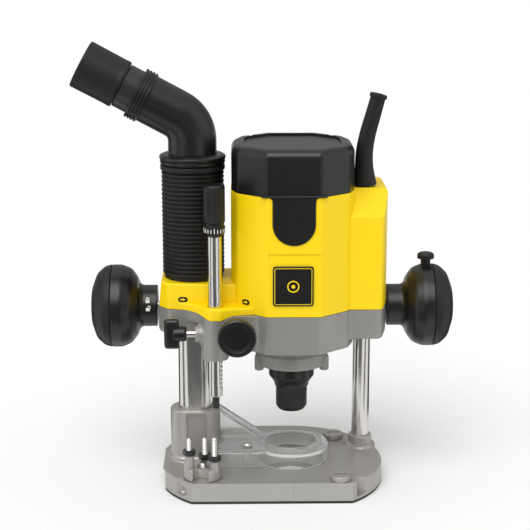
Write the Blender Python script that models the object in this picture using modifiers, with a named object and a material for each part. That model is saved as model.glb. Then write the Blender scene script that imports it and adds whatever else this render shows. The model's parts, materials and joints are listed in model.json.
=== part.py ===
"""Plunge router, modelled piece by piece.

Lengths in the functions are in millimetres, measured from the spindle's axis (X right, Y back, Z up, and
z = 0 under the sole). MM turns them into Blender's metres, and every piece hangs on one empty, which puts the
spindle where it belongs in the part's own frame. A piece that moves has its origin on its joint's axis.
"""

import math

import bmesh
import bpy
from mathutils import Vector

MM = 0.001
GAP = 0.3  # clearance between pieces that touch

# The spindle's place in the part's frame, whose origin is under the middle of the whole machine.
SPINDLE_X, SPINDLE_Y = 19.2, -5.8

# Base
BASE_R, BASE_CX, BASE_LEFT, BASE_FRONT = 67.0, -30.0, -92.0, -52.0
SOLE_TOP, BASE_BOTTOM, BASE_TOP = 1.7, 2.0, 15.5
SOLE_HOLE_R, BASE_HOLE_R = 20.0, 24.0
FENCE_ROD_R, FENCE_ROD_Z, FENCE_ROD_Y = 4.15, 8.0, (-45.0, 40.0)
CLAMP_X, CLAMP_HEAD_R = 33.8, 7.5
SOLE_SCREWS = ((48.0, 10.0), (48.0, 155.0), (48.0, 215.0))  # radius and angle about the spindle

# Columns
LEFT_X, LEFT_Y, LEFT_HALF, LEFT_R = -70.5, 2.0, 4.0, 8.0  # an oval of two half rounds
RIGHT_X, RIGHT_Y, RIGHT_R = 53.0, 24.5, 6.5
LEFT_TOP, RIGHT_TOP = 178.0, 150.0
TOWER_TOP, TOWER_R, TOWER_HALF = 55.0, 13.0, 5.35
SPRING_BOTTOM, SPRING_TOP = 28.4, 207.7

# Stop turret and depth rod
ROD_X, ROD_Y, ROD_R, ROD_BOTTOM, ROD_TOP = -54.7, -33.0, 5.0, 75.0, 191.0
TURRET_X, TURRET_Y, STOP_CIRCLE_R, TURRET_R = -64.3, -37.2, 10.5, 14.0
TURRET_BOTTOM, TURRET_TOP = 15.8, 24.0
STOP_BOSS_TOP = (24.6, 33.2, 29.4)  # under each lock nut
STOP_SCREW_TOP = (41.0, 46.0, 47.0)
GEAR_MODULE, PINION_TEETH, RACK_GAPS, RACK_LINE, RACK_PLAY = 1.0, 22, 16, 4.3, 0.2
PINION_R = GEAR_MODULE * PINION_TEETH / 2
PINION_X, PINION_Z = ROD_X + RACK_LINE + PINION_R, 123.0

# Motor unit
PARTING_Z, BODY_TOP, CAP_TOP = 135.0, 219.5, 252.0
BODY_HALF, BODY_FRONT, FACET_HALF = 43.5, 44.0, 19.0
CAVITY_R = 38.5
HANDLE_Y, HANDLE_Z, LEFT_HANDLE_X, RIGHT_HANDLE_X = 5.0, 131.0, -97.0, 69.0
KNOB_SPLIT, KNOB_LENGTH = 32.5, 47.8
LOCK_BUTTON_X = 96.8

# Dust outlet: a tube that rises, bends, and ends in a cuff on a tilted axis
OUTLET_TURN, OUTLET_CORNER_Z, OUTLET_BEND_R = 61.8, 265.0, 21.0


def clear_scene():
    """Removes whatever the new file came with."""
    for obj in list(bpy.data.objects):
        bpy.data.objects.remove(obj, do_unlink=True)


def new_collection(name):
    """A collection linked to the scene."""
    made = bpy.data.collections.new(name)
    bpy.context.scene.collection.children.link(made)
    return made


def finish(name, colour, roughness, metallic=0.0, alpha=1.0):
    """A Principled material."""
    made = bpy.data.materials.new(name)
    made.use_nodes = True
    shader = made.node_tree.nodes["Principled BSDF"]
    shader.inputs["Base Color"].default_value = (*colour, 1.0)
    shader.inputs["Roughness"].default_value = roughness
    shader.inputs["Metallic"].default_value = metallic
    shader.inputs["Alpha"].default_value = alpha
    return made


clear_scene()
PARTS = new_collection("plunge_router")
TOOLS = new_collection("cutters")
FRAME = bpy.data.objects.new("spindle_frame", None)
FRAME.location = (SPINDLE_X * MM, SPINDLE_Y * MM, 0)
PARTS.objects.link(FRAME)

YELLOW = finish("yellow_plastic", (0.93, 0.66, 0.01), 0.4)
BLACK = finish("black_plastic", (0.02, 0.02, 0.02), 0.5)
RUBBER = finish("black_rubber", (0.015, 0.015, 0.015), 0.7)
GREY = finish("grey_casting", (0.25, 0.24, 0.22), 0.45, 0.8)
BASE_METAL = finish("base_aluminium", (0.4, 0.39, 0.37), 0.4, 0.9)
STEEL = finish("polished_steel", (0.6, 0.6, 0.6), 0.2, 1.0)
DARK_STEEL = finish("dark_steel", (0.05, 0.05, 0.05), 0.35, 0.9)
CLEAR = finish("clear_plastic", (0.9, 0.92, 0.92), 0.1, 0.0, 0.35)
COPPER = finish("copper", (0.7, 0.35, 0.2), 0.35, 1.0)
BRASS = finish("brass", (0.7, 0.55, 0.25), 0.3, 1.0)
CARBON = finish("carbon", (0.03, 0.03, 0.03), 0.8)


# ---- tools for making shapes ----


def add_object(name, mesh, at, turn, material):
    """Puts a mesh in the scene: a part when it has a material, else a hidden shape for Boolean work."""
    obj = bpy.data.objects.new(name, mesh)
    obj.parent = FRAME
    obj.location = [v * MM for v in at]
    obj.rotation_euler = [math.radians(v) for v in turn]
    if material:
        PARTS.objects.link(obj)
        mesh.materials.append(material)
    else:
        TOOLS.objects.link(obj)
        obj.hide_render = True
        obj.display_type = "WIRE"
    return obj


def turned(name, profile, at=(0, 0, 0), turn=(0, 0, 0), material=None, steps=16, ring=False):
    """A profile of (radius, height) points, running down the outer side, spun about the local Z axis."""
    mesh = bpy.data.meshes.new(name)
    edges = [(i, i + 1) for i in range(len(profile) - 1)]
    if ring:
        edges.append((len(profile) - 1, 0))
    mesh.from_pydata([(r * MM, 0, z * MM) for r, z in profile], edges, [])
    obj = add_object(name, mesh, at, turn, material)
    screw = obj.modifiers.new("spin", "SCREW")
    screw.steps = screw.render_steps = steps
    screw.use_merge_vertices = True
    screw.merge_threshold = 0.00001
    return obj


def tube(name, outer, inner, bottom, top, **places):
    """A plain ring of two radii between two heights."""
    profile = [(outer, top), (outer, bottom), (inner, bottom), (inner, top)]
    return turned(name, profile, ring=True, **places)


def rod(name, radius, bottom, top, **places):
    """A plain cylinder between two heights."""
    return turned(name, [(0, top), (radius, top), (radius, bottom), (0, bottom)], **places)


def box(name, low, high, material=None, turn=(0, 0, 0), bevel=0.0):
    """A block between two corners, turned about its own middle."""
    cube = bmesh.new()
    bmesh.ops.create_cube(cube, size=1.0)
    size = [(b - a) * MM for a, b in zip(low, high)]
    bmesh.ops.scale(cube, vec=size, verts=cube.verts)
    mesh = bpy.data.meshes.new(name)
    cube.to_mesh(mesh)
    cube.free()
    obj = add_object(name, mesh, [(a + b) / 2 for a, b in zip(low, high)], turn, material)
    if bevel:
        round_edges(obj, bevel)
    return obj


def round_edges(obj, width, segments=2):
    """Rounds the edges that turn by more than 50 degrees."""
    bevel = obj.modifiers.new("round_edges", "BEVEL")
    bevel.width = width * MM
    bevel.segments = segments
    bevel.limit_method = "ANGLE"
    bevel.angle_limit = math.radians(50)
    return obj


def curve_to_mesh(curve, name, at, turn, material):
    """A curve's evaluated surface as a mesh object with its caps welded on."""
    maker = bpy.data.objects.new(name + "_curve", curve)
    TOOLS.objects.link(maker)
    graph = bpy.context.evaluated_depsgraph_get()
    mesh = bpy.data.meshes.new_from_object(maker.evaluated_get(graph))
    mesh.materials.clear()
    surface = bmesh.new()
    surface.from_mesh(mesh)
    bmesh.ops.remove_doubles(surface, verts=surface.verts, dist=0.000001)
    bmesh.ops.recalc_face_normals(surface, faces=surface.faces)
    surface.to_mesh(mesh)
    surface.free()
    obj = add_object(name, mesh, at, turn, material)
    bpy.data.objects.remove(maker, do_unlink=True)
    return obj


def plate(name, outline, bottom, top, holes=(), at=(0, 0, 0), turn=(0, 0, 0), material=None):
    """A flat outline, with holes, extruded along local Z between two heights."""
    curve = bpy.data.curves.new(name, "CURVE")
    curve.dimensions = "2D"
    curve.fill_mode = "BOTH"
    curve.extrude = (top - bottom) / 2 * MM
    for loop in (outline, *holes):
        spline = curve.splines.new("POLY")
        spline.points.add(len(loop) - 1)
        for point, (x, y) in zip(spline.points, loop):
            point.co = (x * MM, y * MM, 0, 1)
        spline.use_cyclic_u = True
    obj = curve_to_mesh(curve, name, (0, 0, 0), turn, material)
    middle = (top + bottom) / 2
    obj.location = [v * MM for v in at]
    shift = obj.rotation_euler.to_matrix() @ Vector((0, 0, middle * MM))
    obj.location += shift
    return obj


def sweep(name, points, radius, at=(0, 0, 0), material=None, sides=3, radii=None):
    """A round bar along a list of points; radii scales it at each point."""
    curve = bpy.data.curves.new(name, "CURVE")
    curve.dimensions = "3D"
    curve.bevel_depth = radius * MM
    curve.bevel_resolution = sides
    curve.use_fill_caps = True
    spline = curve.splines.new("POLY")
    spline.points.add(len(points) - 1)
    for i, (x, y, z) in enumerate(points):
        spline.points[i].co = (x * MM, y * MM, z * MM, 1)
        spline.points[i].radius = radii[i] if radii else 1.0
    return curve_to_mesh(curve, name, at, (0, 0, 0), material)


def cut(obj, *tools):
    """Takes each tool's shape away."""
    for tool in tools:
        step = obj.modifiers.new("cut_" + tool.name, "BOOLEAN")
        step.operation = "DIFFERENCE"
        step.object = tool
    return obj


def join(obj, *tools):
    """Adds each tool's shape."""
    for tool in tools:
        step = obj.modifiers.new("join_" + tool.name, "BOOLEAN")
        step.operation = "UNION"
        step.object = tool
    return obj


def arc(cx, cy, radius, start, end, count):
    """Points along an arc, angles in degrees."""
    turns = [math.radians(start + (end - start) * i / count) for i in range(count + 1)]
    return [(cx + radius * math.cos(a), cy + radius * math.sin(a)) for a in turns]


def oval(half, radius, count=6):
    """Two half rounds joined by straight sides, long in X."""
    return arc(half, 0, radius, -90, 90, count) + arc(-half, 0, radius, 90, 270, count)


def body_outline(inset=0.0):
    """The motor body's eight-sided plan, with its corners cut once more so that they read as round."""
    half, front, facet = BODY_HALF - inset, BODY_FRONT - inset, FACET_HALF - inset * 0.4
    side = 19.0
    quarter = [(facet, front), (half - 4.5, side + 6.5), (half, side - 3)]
    right = quarter + [(x, -y) for x, y in reversed(quarter)]
    return [(x, -y) for x, y in right] + [(-x, y) for x, y in right]


# ---- base ----


def base_outline():
    """Two R67 rounds and the straight sides between them, cut off flat in front and at the left."""
    front_angle = math.degrees(math.asin(-BASE_FRONT / BASE_R))
    left_angle = math.degrees(math.acos((BASE_CX - BASE_LEFT) / BASE_R))
    points = arc(0, 0, BASE_R, -front_angle, 90, 14)
    points += arc(BASE_CX, 0, BASE_R, 90, 180 - left_angle, 8)
    return points + arc(BASE_CX, 0, BASE_R, 180 + left_angle, 180 + front_angle, 4)


def fence_rod_tools():
    """The two fence-rod holes, and the notches that open them at the corners of the front one."""
    tools = []
    for side, y in zip(("front", "rear"), FENCE_ROD_Y):
        name = "fence_hole_" + side
        tools.append(rod(name, FENCE_ROD_R, -110, 90, at=(0, y, FENCE_ROD_Z), turn=(0, 90, 0)))
        tools.append(rod("clamp_hole_" + side, 3.1, 8, 17, at=(CLAMP_X, y, 0), steps=12))
    y = FENCE_ROD_Y[0]
    tools.append(box("notch_right", (45, y - 4.6, 3.8), (62, y + 4.6, 16)))
    tools.append(box("notch_left", (-96, y - 4.0, 3.8), (-79.5, y + 4.6, 16)))
    return tools


def make_base_casting():
    """The cast base: its plate, the dust tower for the left column and the collar for the right one."""
    base = plate("base_casting", base_outline(), BASE_BOTTOM, BASE_TOP, material=BASE_METAL)
    tower_at = (LEFT_X, LEFT_Y, 0)
    tower = plate("tower", oval(TOWER_HALF, TOWER_R), BASE_TOP - 2, TOWER_TOP, at=tower_at)
    foot = plate("tower_foot", oval(TOWER_HALF, TOWER_R + 1.6), BASE_TOP - 2, BASE_TOP + 3.5, at=tower_at)
    collar = rod("collar", 8.7, BASE_TOP - 2, 24.5, at=(RIGHT_X, RIGHT_Y, 0), steps=24)
    join(base, foot, tower, collar)
    socket = plate("column_socket", oval(LEFT_HALF, LEFT_R + GAP), 30, 60, at=tower_at)
    duct = plate("tower_duct", oval(LEFT_HALF, LEFT_R - 2), 9, 31, at=tower_at)
    side_port = box("side_port", (-64, -4, 17.5), (-45, 9, 29))
    channel = box("tower_channel", (-76.8, -16, 19.5), (-61.8, -9, 52.5), bevel=1.5)
    right_socket = rod("right_socket", RIGHT_R + GAP, 4, 26, at=(RIGHT_X, RIGHT_Y, 0))
    opening = rod("base_opening", BASE_HOLE_R, 0, 20, steps=24)
    pivot = rod("pivot_hole", 2.8, 7, 17, at=(TURRET_X, TURRET_Y, 0), steps=12)
    tip_recess = rod("tip_recess", 4.0, 5, 17, at=(ROD_X, ROD_Y, 0), steps=12)
    cut(base, socket, duct, side_port, channel, right_socket, opening, pivot, tip_recess)
    cut(base, *fence_rod_tools())
    cut(base, rod("shroud_screw_hole", 1.9, 9, 17, at=(-32.4, -11.1, 0), steps=12))
    for i, (radius, angle) in enumerate(SOLE_SCREWS, 1):
        at = (radius * math.cos(math.radians(angle)), radius * math.sin(math.radians(angle)), 0)
        profile = [(0, 10.5), (2.0, 10.5), (2.0, 2.7), (4.0, 2.7), (4.0, 1), (0, 1)]
        cut(base, turned(f"sole_screw_hole_{i}", profile, at=at, steps=12))


def make_sole():
    """The black sole plate and its three countersunk screws."""
    sole = plate("sole_plate", base_outline(), 0, SOLE_TOP, material=BLACK)
    cut(sole, rod("sole_opening", SOLE_HOLE_R, -2, 4, steps=24))
    for i, (radius, angle) in enumerate(SOLE_SCREWS, 1):
        at = (radius * math.cos(math.radians(angle)), radius * math.sin(math.radians(angle)), 0)
        cut(sole, rod(f"sole_countersink_{i}", 4.0, -1, 3, at=at, steps=12))
        profile = [(0, 9.5), (1.7, 9.5), (1.7, 2.3), (3.6, 2.3), (3.6, 0.4), (0, 0.4)]
        turned(f"sole_screw_{i}", profile, at=at, material=STEEL, steps=12)


def make_columns():
    """The oval dust column with its front groove, the round column, and the return spring inside it."""
    inner = oval(LEFT_HALF, LEFT_R - 2)
    at = (LEFT_X, LEFT_Y, 0)
    left = plate("left_column", oval(LEFT_HALF, LEFT_R), 30.3, LEFT_TOP, [inner], at=at, material=STEEL)
    cut(left, box("column_groove", (-65, -8, 20), (-62.4, -5.1, 190)))
    right = [(0, 28), (4.7, 28), (4.7, RIGHT_TOP), (RIGHT_R, RIGHT_TOP), (RIGHT_R, 4.3), (0, 4.3)]
    turned("right_column", right, at=(RIGHT_X, RIGHT_Y, 0), material=STEEL, steps=20)
    turns, per_turn, coil, wire = 11, 8, 3.3, 0.7
    steps = turns * per_turn
    rise = (SPRING_TOP - SPRING_BOTTOM - 2 * wire) / steps
    points = []
    for i in range(steps + 1):
        angle = 2 * math.pi * i / per_turn
        points.append((coil * math.cos(angle), coil * math.sin(angle), SPRING_BOTTOM + wire + rise * i))
    sweep("plunge_spring", points, wire, at=(RIGHT_X, RIGHT_Y, 0), material=STEEL, sides=1)


def shroud_shape(name, inset, material=None):
    """The dust shroud's outer form, or its inner one when inset by the wall's thickness."""
    below = 3.0 if inset else 0.0  # the inner form runs out through the open bottom
    low, top = BASE_TOP + GAP - below, 28.5 - inset
    drum = rod(name, 27.5 - inset, low, top, material=material, steps=24)
    front = [(-62, -20 + inset), (-33, -22 + inset), (-18, -20 + inset)]
    duct_plan = front + [(-18, 20 - inset), (-62, 18 - inset)]
    duct = plate(name + "_duct", duct_plan, low, top)
    slope = [(-62, low), (-20, low), (-20, top), (-62, top + 29 - inset * 0.5)]
    hood = plate(name + "_hood", slope, 4 + inset, 18 - inset, turn=(90, 0, 0), at=(0, 22, 0))
    join(drum, duct, hood)
    return drum


def make_shroud():
    """The clear dust shroud round the cutter, its duct to the tower, and its screw."""
    shroud = shroud_shape("dust_shroud", 0, CLEAR)
    inner = shroud_shape("shroud_space", 2.0)
    around_tower = plate("around_tower", oval(TOWER_HALF, TOWER_R + 2.0), 0, 70, at=(LEFT_X, LEFT_Y, 0))
    cut(shroud, inner, rod("shroud_opening", 18.5, 20, 40, steps=24), around_tower)
    cut(shroud, box("trim_left", (-80, -40, 0), (-56.5, 40, 80)))
    ear = rod("screw_post", 4.2, BASE_TOP + GAP, 28.0, at=(-32.4, -11.1, 0))
    join(shroud, ear)
    cut(shroud, rod("screw_way", 2.1, 10, 40, at=(-32.4, -11.1, 0), steps=12))
    profile = [(0, 30.6), (2.6, 30.6), (3.4, 29.6), (3.4, 28.8), (1.6, 28.8), (1.6, 10), (0, 10)]
    turned("shroud_screw", profile, at=(-32.4, -11.1, 0), material=STEEL, steps=12)


def make_clamp_screws():
    """The slotted clamp screws over the two fence-rod holes."""
    for side, y in zip(("front", "rear"), FENCE_ROD_Y):
        name = "rod_clamp_screw_" + side
        profile = [(0, 19.6), (6.6, 19.6), (CLAMP_HEAD_R, 18.9), (CLAMP_HEAD_R, 15.8)]
        profile += [(2.8, 15.8), (2.8, 12.7), (0, 12.7)]
        screw = turned(name, profile, at=(CLAMP_X, y, 0), material=STEEL)
        low, high = (CLAMP_X - 5, y - 0.8, 18.3), (CLAMP_X + 5, y + 0.8, 21)
        cut(screw, box(name + "_slot", low, high))


# ---- stop turret ----


def stop_place(i):
    """Stop i's place on the turret, 60 degrees off the notch that faces the depth rod."""
    notch = math.atan2(ROD_Y - TURRET_Y, ROD_X - TURRET_X)
    angle = notch + math.radians(60 + 120 * i)
    return TURRET_X + STOP_CIRCLE_R * math.cos(angle), TURRET_Y + STOP_CIRCLE_R * math.sin(angle)


def make_turret():
    """The turret disc with three notches and three stepped bosses, and its pivot screw."""
    at = (TURRET_X, TURRET_Y, 0)
    profile = [(0, 22.5), (9, 22.5), (10, TURRET_TOP), (12.8, TURRET_TOP), (TURRET_R, 22.8)]
    profile += [(TURRET_R, TURRET_BOTTOM), (0, TURRET_BOTTOM)]
    disc = turned("turret_disc", profile, at=at, material=BASE_METAL, steps=24)
    for i, top in enumerate(STOP_BOSS_TOP):
        x, y = stop_place(i)
        join(disc, rod(f"stop_boss_{i}", 3.6, TURRET_BOTTOM + 1, top, at=(x, y, 0), steps=12))
    for i in range(3):
        x, y = stop_place(i)
        cut(disc, rod(f"stop_hole_{i}", 2.8, 10, 50, at=(x, y, 0), steps=12))
        opposite = (2 * TURRET_X - x, 2 * TURRET_Y - y, 0)
        cut(disc, rod(f"notch_{i}", 6.2, 10, 50, at=opposite))
    cut(disc, rod("disc_bore", 3.3, 10, 50, at=at, steps=12))
    profile = [(0, 26.2), (3.2, 26.2), (4.0, 25.4), (4.0, 22.8), (2.5, 22.8), (2.5, 8), (0, 8)]
    turned("turret_pivot_screw", profile, at=at, material=STEEL, steps=12)
    for i, (boss, top) in enumerate(zip(STOP_BOSS_TOP, STOP_SCREW_TOP)):
        x, y = stop_place(i)
        profile = [(0, top), (1.9, top), (2.5, top - 0.8), (2.5, 18.5), (0, 18.5)]
        turned(f"stop_screw_{i + 1}", profile, at=(x, y, 0), material=STEEL, steps=12)
        hexagon = arc(0, 0, 4.5, 0, 300, 5)
        nut = [arc(0, 0, 2.8, 0, 330, 11)]
        plate(f"stop_nut_{i + 1}", hexagon, boss + GAP, boss + 4.2, nut, at=(x, y, 0), material=DARK_STEEL)


# ---- carriage: the grey casting ----


def left_guide_outline():
    """Plan of the left guide, where the sleeve and the dust column pass through the motor unit."""
    return [(-88, -21), (-95.5, -12), (-95.5, 16), (-88, 25), (-40, 25), (-40, -24), (-62, -24)]


def right_box_outline():
    """Plan of the box on the right that holds the round column's guide and the electrics."""
    return [(30, -25), (61, -25), (65.5, -20), (67.5, 0), (67.5, 36), (61, 43), (30, 43)]


def gear_case_profile():
    """The gear end below the body, turned: barrel, waist and nose ring."""
    barrel = [(0, 114), (38.2, 114), (38.2, 106.9), (34, 104.2), (25, 103.2), (25, 100)]
    return barrel + [(26.2, 99.2), (26.2, 90.2), (25.4, 89.5), (0, 89.5)]


def casting_bodies():
    """What the casting is joined from, besides its middle."""
    places = dict(at=(PINION_X, 0, PINION_Z), turn=(90, 0, 0))
    rod_boss = rod("rod_boss", 9.4, 102.4, PARTING_Z, at=(ROD_X, ROD_Y, 0))
    parts = [
        turned("gear_case", gear_case_profile(), steps=28),
        plate("right_foot", right_box_outline(), 113, PARTING_Z),
        plate("left_foot", left_guide_outline(), 116, PARTING_Z),
        rod_boss,
        box("rod_web", (-66, -33, 112), (-45, -18, PARTING_Z)),
        box("pinion_case", (-53, -41, 109.5), (-24, -22, PARTING_Z), bevel=2.0),
        rod("knob_boss", 8.0, 40, 47.7, **places),
        rod("lock_boss", 6.0, 8, 14, at=(ROD_X, ROD_Y, 120.6), turn=(0, -90, 0)),
    ]
    for side in (-1, 1):
        parts.append(rod(f"nose_lug_{side + 1}", 3.4, 84.9, 96, at=(side * 23.6, -6, 0), steps=12))
    return parts


def pinion_pocket():
    """The space for the rack pinion and its shaft; the casting and the housing are both cut by it."""
    wide = PINION_R + 1.8
    profile = [(0, 60), (4.3, 60), (4.3, 37.5), (wide, 37.5), (wide, 28.7), (0, 28.7)]
    return turned("pinion_pocket", profile, at=(PINION_X, 0, PINION_Z), turn=(90, 0, 0))


def make_carriage_casting(pocket):
    """The grey casting: gear end, column guides, depth-rod bracket and handle seats."""
    casting = plate("carriage_casting", body_outline(), 107.5, PARTING_Z, material=GREY)
    join(casting, *casting_bodies())
    cavity = [(0, 140), (CAVITY_R, 140), (CAVITY_R, 113), (17.8, 113), (17.8, 99.7)]
    cavity += [(12.2, 99.7), (12.2, 80), (0, 80)]
    cut(casting, turned("gear_cavity", cavity, steps=24))
    left = dict(at=(LEFT_X, LEFT_Y, 0))
    cut(casting, plate("left_guide_bore", oval(LEFT_HALF, LEFT_R + 2.3), 113.5, 140, **left))
    cut(casting, plate("left_guide_way", oval(LEFT_HALF, LEFT_R + 0.7), 100, 140, **left))
    way = RIGHT_R + 0.6
    bore = [(0, 140), (8.8, 140), (8.8, 114), (way, 114), (way, 100), (0, 100)]
    cut(casting, turned("right_guide_bore", bore, at=(RIGHT_X, RIGHT_Y, 0)))
    cut(casting, rod("rod_way", ROD_R + GAP, 90, 150, at=(ROD_X, ROD_Y, 0)), pocket)
    cut(casting, rod("lock_shaft_way", 2.8, 0, 30, at=(ROD_X, ROD_Y, 120.6), turn=(0, -90, 0), steps=12))
    cut(casting, rod("stud_way", 3.3, 10, 40, at=(LEFT_X, HANDLE_Y, HANDLE_Z), turn=(0, -90, 0), steps=12))
    cut(casting, rod("spindle_lock_way", 3.3, -40, -10, at=(0, 0, 94.6), turn=(90, 0, 0), steps=12))
    for step in casting.modifiers:  # the exact solver leaves slits in this body
        step.solver = "MANIFOLD"


def make_housing(pocket):
    """The yellow motor housing: octagonal body, right box with its sloped shoulder, and left wing."""
    low = PARTING_Z + GAP
    housing = plate("motor_housing", body_outline(), low, BODY_TOP, material=YELLOW)
    right = plate("right_box", right_box_outline(), low, 218.8)
    cut(right, box("shoulder", (20, -46, 207), (80, -4, 247), turn=(38, 0, 0)))
    wing = plate("left_wing", left_guide_outline(), low, 154.0)
    collar = rod("rod_collar", 9.4, low, 141.0, at=(ROD_X, ROD_Y, 0))
    web = box("collar_web", (-66, -33, low), (-40, -18, 141.0))
    join(housing, right, wing, collar, web)
    cavity = rod("motor_cavity", CAVITY_R, 130, 230, steps=24)
    electrics = box("electrics_bay", (41.5, -19, 130), (61, 13.5, 207))
    column_way = rod("column_way", 7.6, 130, 208.2, at=(RIGHT_X, RIGHT_Y, 0))
    cord_way = rod("cord_way", 3.8, 200, 230, at=(52, 5, 0), steps=12)
    sleeve_way = plate("sleeve_way", oval(LEFT_HALF, LEFT_R + 1.2), 130, 160, at=(LEFT_X, LEFT_Y, 0))
    rod_way = rod("housing_rod_way", ROD_R + 0.5, 120, 160, at=(ROD_X, ROD_Y, 0))
    crease = box("front_crease", (-18, -46.2, 143.5), (18, -44.15, 180.3), turn=(-3.2, 0, 0))
    seam = box("right_seam", (31.6, -26.5, 130), (33.2, -24.2, 217))
    cut(housing, cavity, electrics, column_way, cord_way, sleeve_way, rod_way, crease, seam, pocket)
    cut(housing, tongue_shape("tongue_recess", GAP, -50, -40.7))
    for i, side in enumerate((-1, 1), 1):
        cut(housing, rod(f"housing_screw_hole_{i}", 2.0, 200, 225, at=(side * 28.3, 28.3, 0), steps=12))


def tongue_shape(name, grow, front, back):
    """The U-shaped tongue that the cap sends down the front of the housing."""
    half, middle = 14.65 + grow, 200.95
    outline = arc(0, middle, half, 180, 360, 10) + [(half, 225), (-half, 225)]
    tongue = plate(name, outline, -back, -front, turn=(90, 0, 0))
    return tongue


def make_cap():
    """The black top cap with its front tongue, bearing seat, dial pocket and two screws."""
    cap = plate("top_cap", body_outline(0.4), 200, CAP_TOP, material=BLACK)
    round_edges(cap, 6.0, 3)
    inset = round_edges(plate("top_inset", body_outline(9.5), CAP_TOP - 1.4, CAP_TOP + 9), 0.8, 1)
    below = box("below_cap", (-60, -60, 190), (60, 60, BODY_TOP + GAP))
    cut(cap, below, inset)
    join(cap, tongue_shape("tongue", 0, -45.2, -41.0))
    ring = tube("cap_space", 36.0, 14.0, 190, 246, steps=24)
    cut(cap, ring, rod("bearing_seat", 11.3, 190, 229.6), rod("shaft_space", 5.5, 190, 234))
    cut(cap, rod("dial_pocket", 8.4, -60, -39.5, at=(0, 0, 236), turn=(90, 0, 0)))
    profile = [(0, 243), (3.0, 243), (3.0, 240), (1.7, 240), (1.7, 205), (0, 205)]
    for i, side in enumerate((-1, 1), 1):
        at = (side * 28.3, 28.3, 0)
        hole = [(0, 260), (3.3, 260), (3.3, 239.7), (2.0, 239.7), (2.0, 210), (0, 210)]
        cut(cap, turned(f"cap_screw_hole_{i}", hole, at=at, steps=12))
        turned(f"cap_screw_{i}", profile, at=at, material=DARK_STEEL, steps=12)


def make_badge():
    """A blank rounded plate on the front of the housing."""
    half, radius = 14.1, 2.2
    outline = []
    for start, sx, sy in ((0, 1, 1), (90, -1, 1), (180, -1, -1), (270, 1, -1)):
        outline += arc(sx * (half - radius), sy * (half - radius), radius, start, start + 90, 3)
    plate("name_badge", outline, 44.3, 45.3, at=(-0.5, 0, 157.7), turn=(90, 0, 0), material=BLACK)


def make_sleeve():
    """The dust sleeve that the left column slides up into."""
    lip = [(21.8, 235.9), (22.9, 235.0), (22.9, 232), (22.2, 231.5)]
    profile = lip + [(22.2, 154.3), (17, 154.3), (17, 235.9)]
    turned("dust_sleeve", profile, at=(LEFT_X, LEFT_Y, 0), material=BLACK, steps=24, ring=True)


def make_strain_relief():
    """The tapered rubber boot on the right box, hollow for the cord that is not fitted."""
    route = [(52.0, 219.9), (51.2, 232), (51.4, 244), (53.4, 256), (56.6, 268), (59.4, 278.5), (60.8, 284)]
    size = [8.4, 6.7, 6.1, 5.8, 5.6, 5.4, 5.4]
    points = [(x, 5, z) for x, z in route]
    boot = sweep("strain_relief", points, 1.0, material=RUBBER, sides=4, radii=size)
    lip = tube("boot_lip", 6.2, 4.2, -2.6, 0.3, at=points[-1], turn=(0, 13, 0))
    bore = [(52.0, 5, 210), *points, (62.3, 5, 290)]
    cut(join(boot, lip), sweep("cord_bore", bore, 3.9, sides=3))


def make_bushes():
    """The plain bearings that run on the two columns."""
    at = (LEFT_X, LEFT_Y, 0)
    inner = [oval(LEFT_HALF, LEFT_R + 0.3)]
    outer = oval(LEFT_HALF, LEFT_R + 2.0)
    bush = plate("column_bush_left", outer, 113.8, 134.6, inner, at=at, material=BRASS)
    cut(bush, rod("pad_way", 3.1, 5, 20, at=(LEFT_X, HANDLE_Y, HANDLE_Z), turn=(0, -90, 0), steps=12))
    tube("column_bush_right", 8.5, 6.7, 114.3, 134.6, at=(RIGHT_X, RIGHT_Y, 0), material=BRASS)


def make_motor():
    """Stator, rotor, commutator, fan, brushes, bearings and shaft."""
    tube("stator_core", 37.8, 25.8, 150, 190, material=DARK_STEEL, steps=24)
    tube("rotor_core", 25.0, 6.3, 150, 190, material=STEEL)
    tube("commutator", 12.0, 6.3, 199, 213, material=COPPER)
    for name, side in (("front", -1), ("rear", 1)):
        near, far = sorted((side * 12.4, side * 26.0))
        box("carbon_brush_" + name, (-3.2, near, 202), (3.2, far, 210), material=CARBON)
    tube("lower_bearing", 17.5, 8.8, 100, 112, material=STEEL)
    tube("upper_bearing", 11.0, 4.3, 222, 229, material=STEEL)
    shaft = [(0, 229.4), (4, 229.4), (4, 221.6), (6, 221.6), (6, 112.6), (8.5, 112.6)]
    shaft += [(8.5, 60.4), (7.3, 60.4), (7.3, 88), (0, 88)]
    turned("spindle_shaft", shaft, material=STEEL)
    blades, outline = 9, []
    for i in range(blades):
        start = 360 * i / blades
        outline += arc(0, 0, 34, start, start + 9, 1) + arc(0, 0, 14, start + 14, start + 34, 1)
    fan = plate("cooling_fan", outline, 139.5, 147, material=BLACK)
    join(fan, rod("fan_plate", 34.5, 138, 140))
    cut(fan, rod("fan_bore", 6.3, 130, 150))


def make_collet():
    """The split collet as a plain sleeve, and the nut that closes it."""
    tube("collet", 7.0, 4.0, 59.8, 86, material=STEEL)
    outer = [(15.8, 88.4), (16.5, 87.6), (16.5, 79.6), (12.2, 73.3), (12.2, 56), (10.6, 54)]
    nut = turned("collet_nut", outer + [(5.4, 54), (5.4, 59.2), (8.8, 59.2), (8.8, 88.4)],
                 material=DARK_STEEL, steps=24, ring=True)
    for i in range(6):
        angle = 60 * i
        low, high = (11.2, -9, 50), (16, 9, 72.5)
        flat = box(f"nut_flat_{i}", low, high)
        middle = (low[0] + high[0]) / 2
        flat.location.x = middle * math.cos(math.radians(angle)) * MM
        flat.location.y = middle * math.sin(math.radians(angle)) * MM
        flat.rotation_euler.z = math.radians(angle)
        cut(nut, flat)


# ---- depth stop ----


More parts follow.
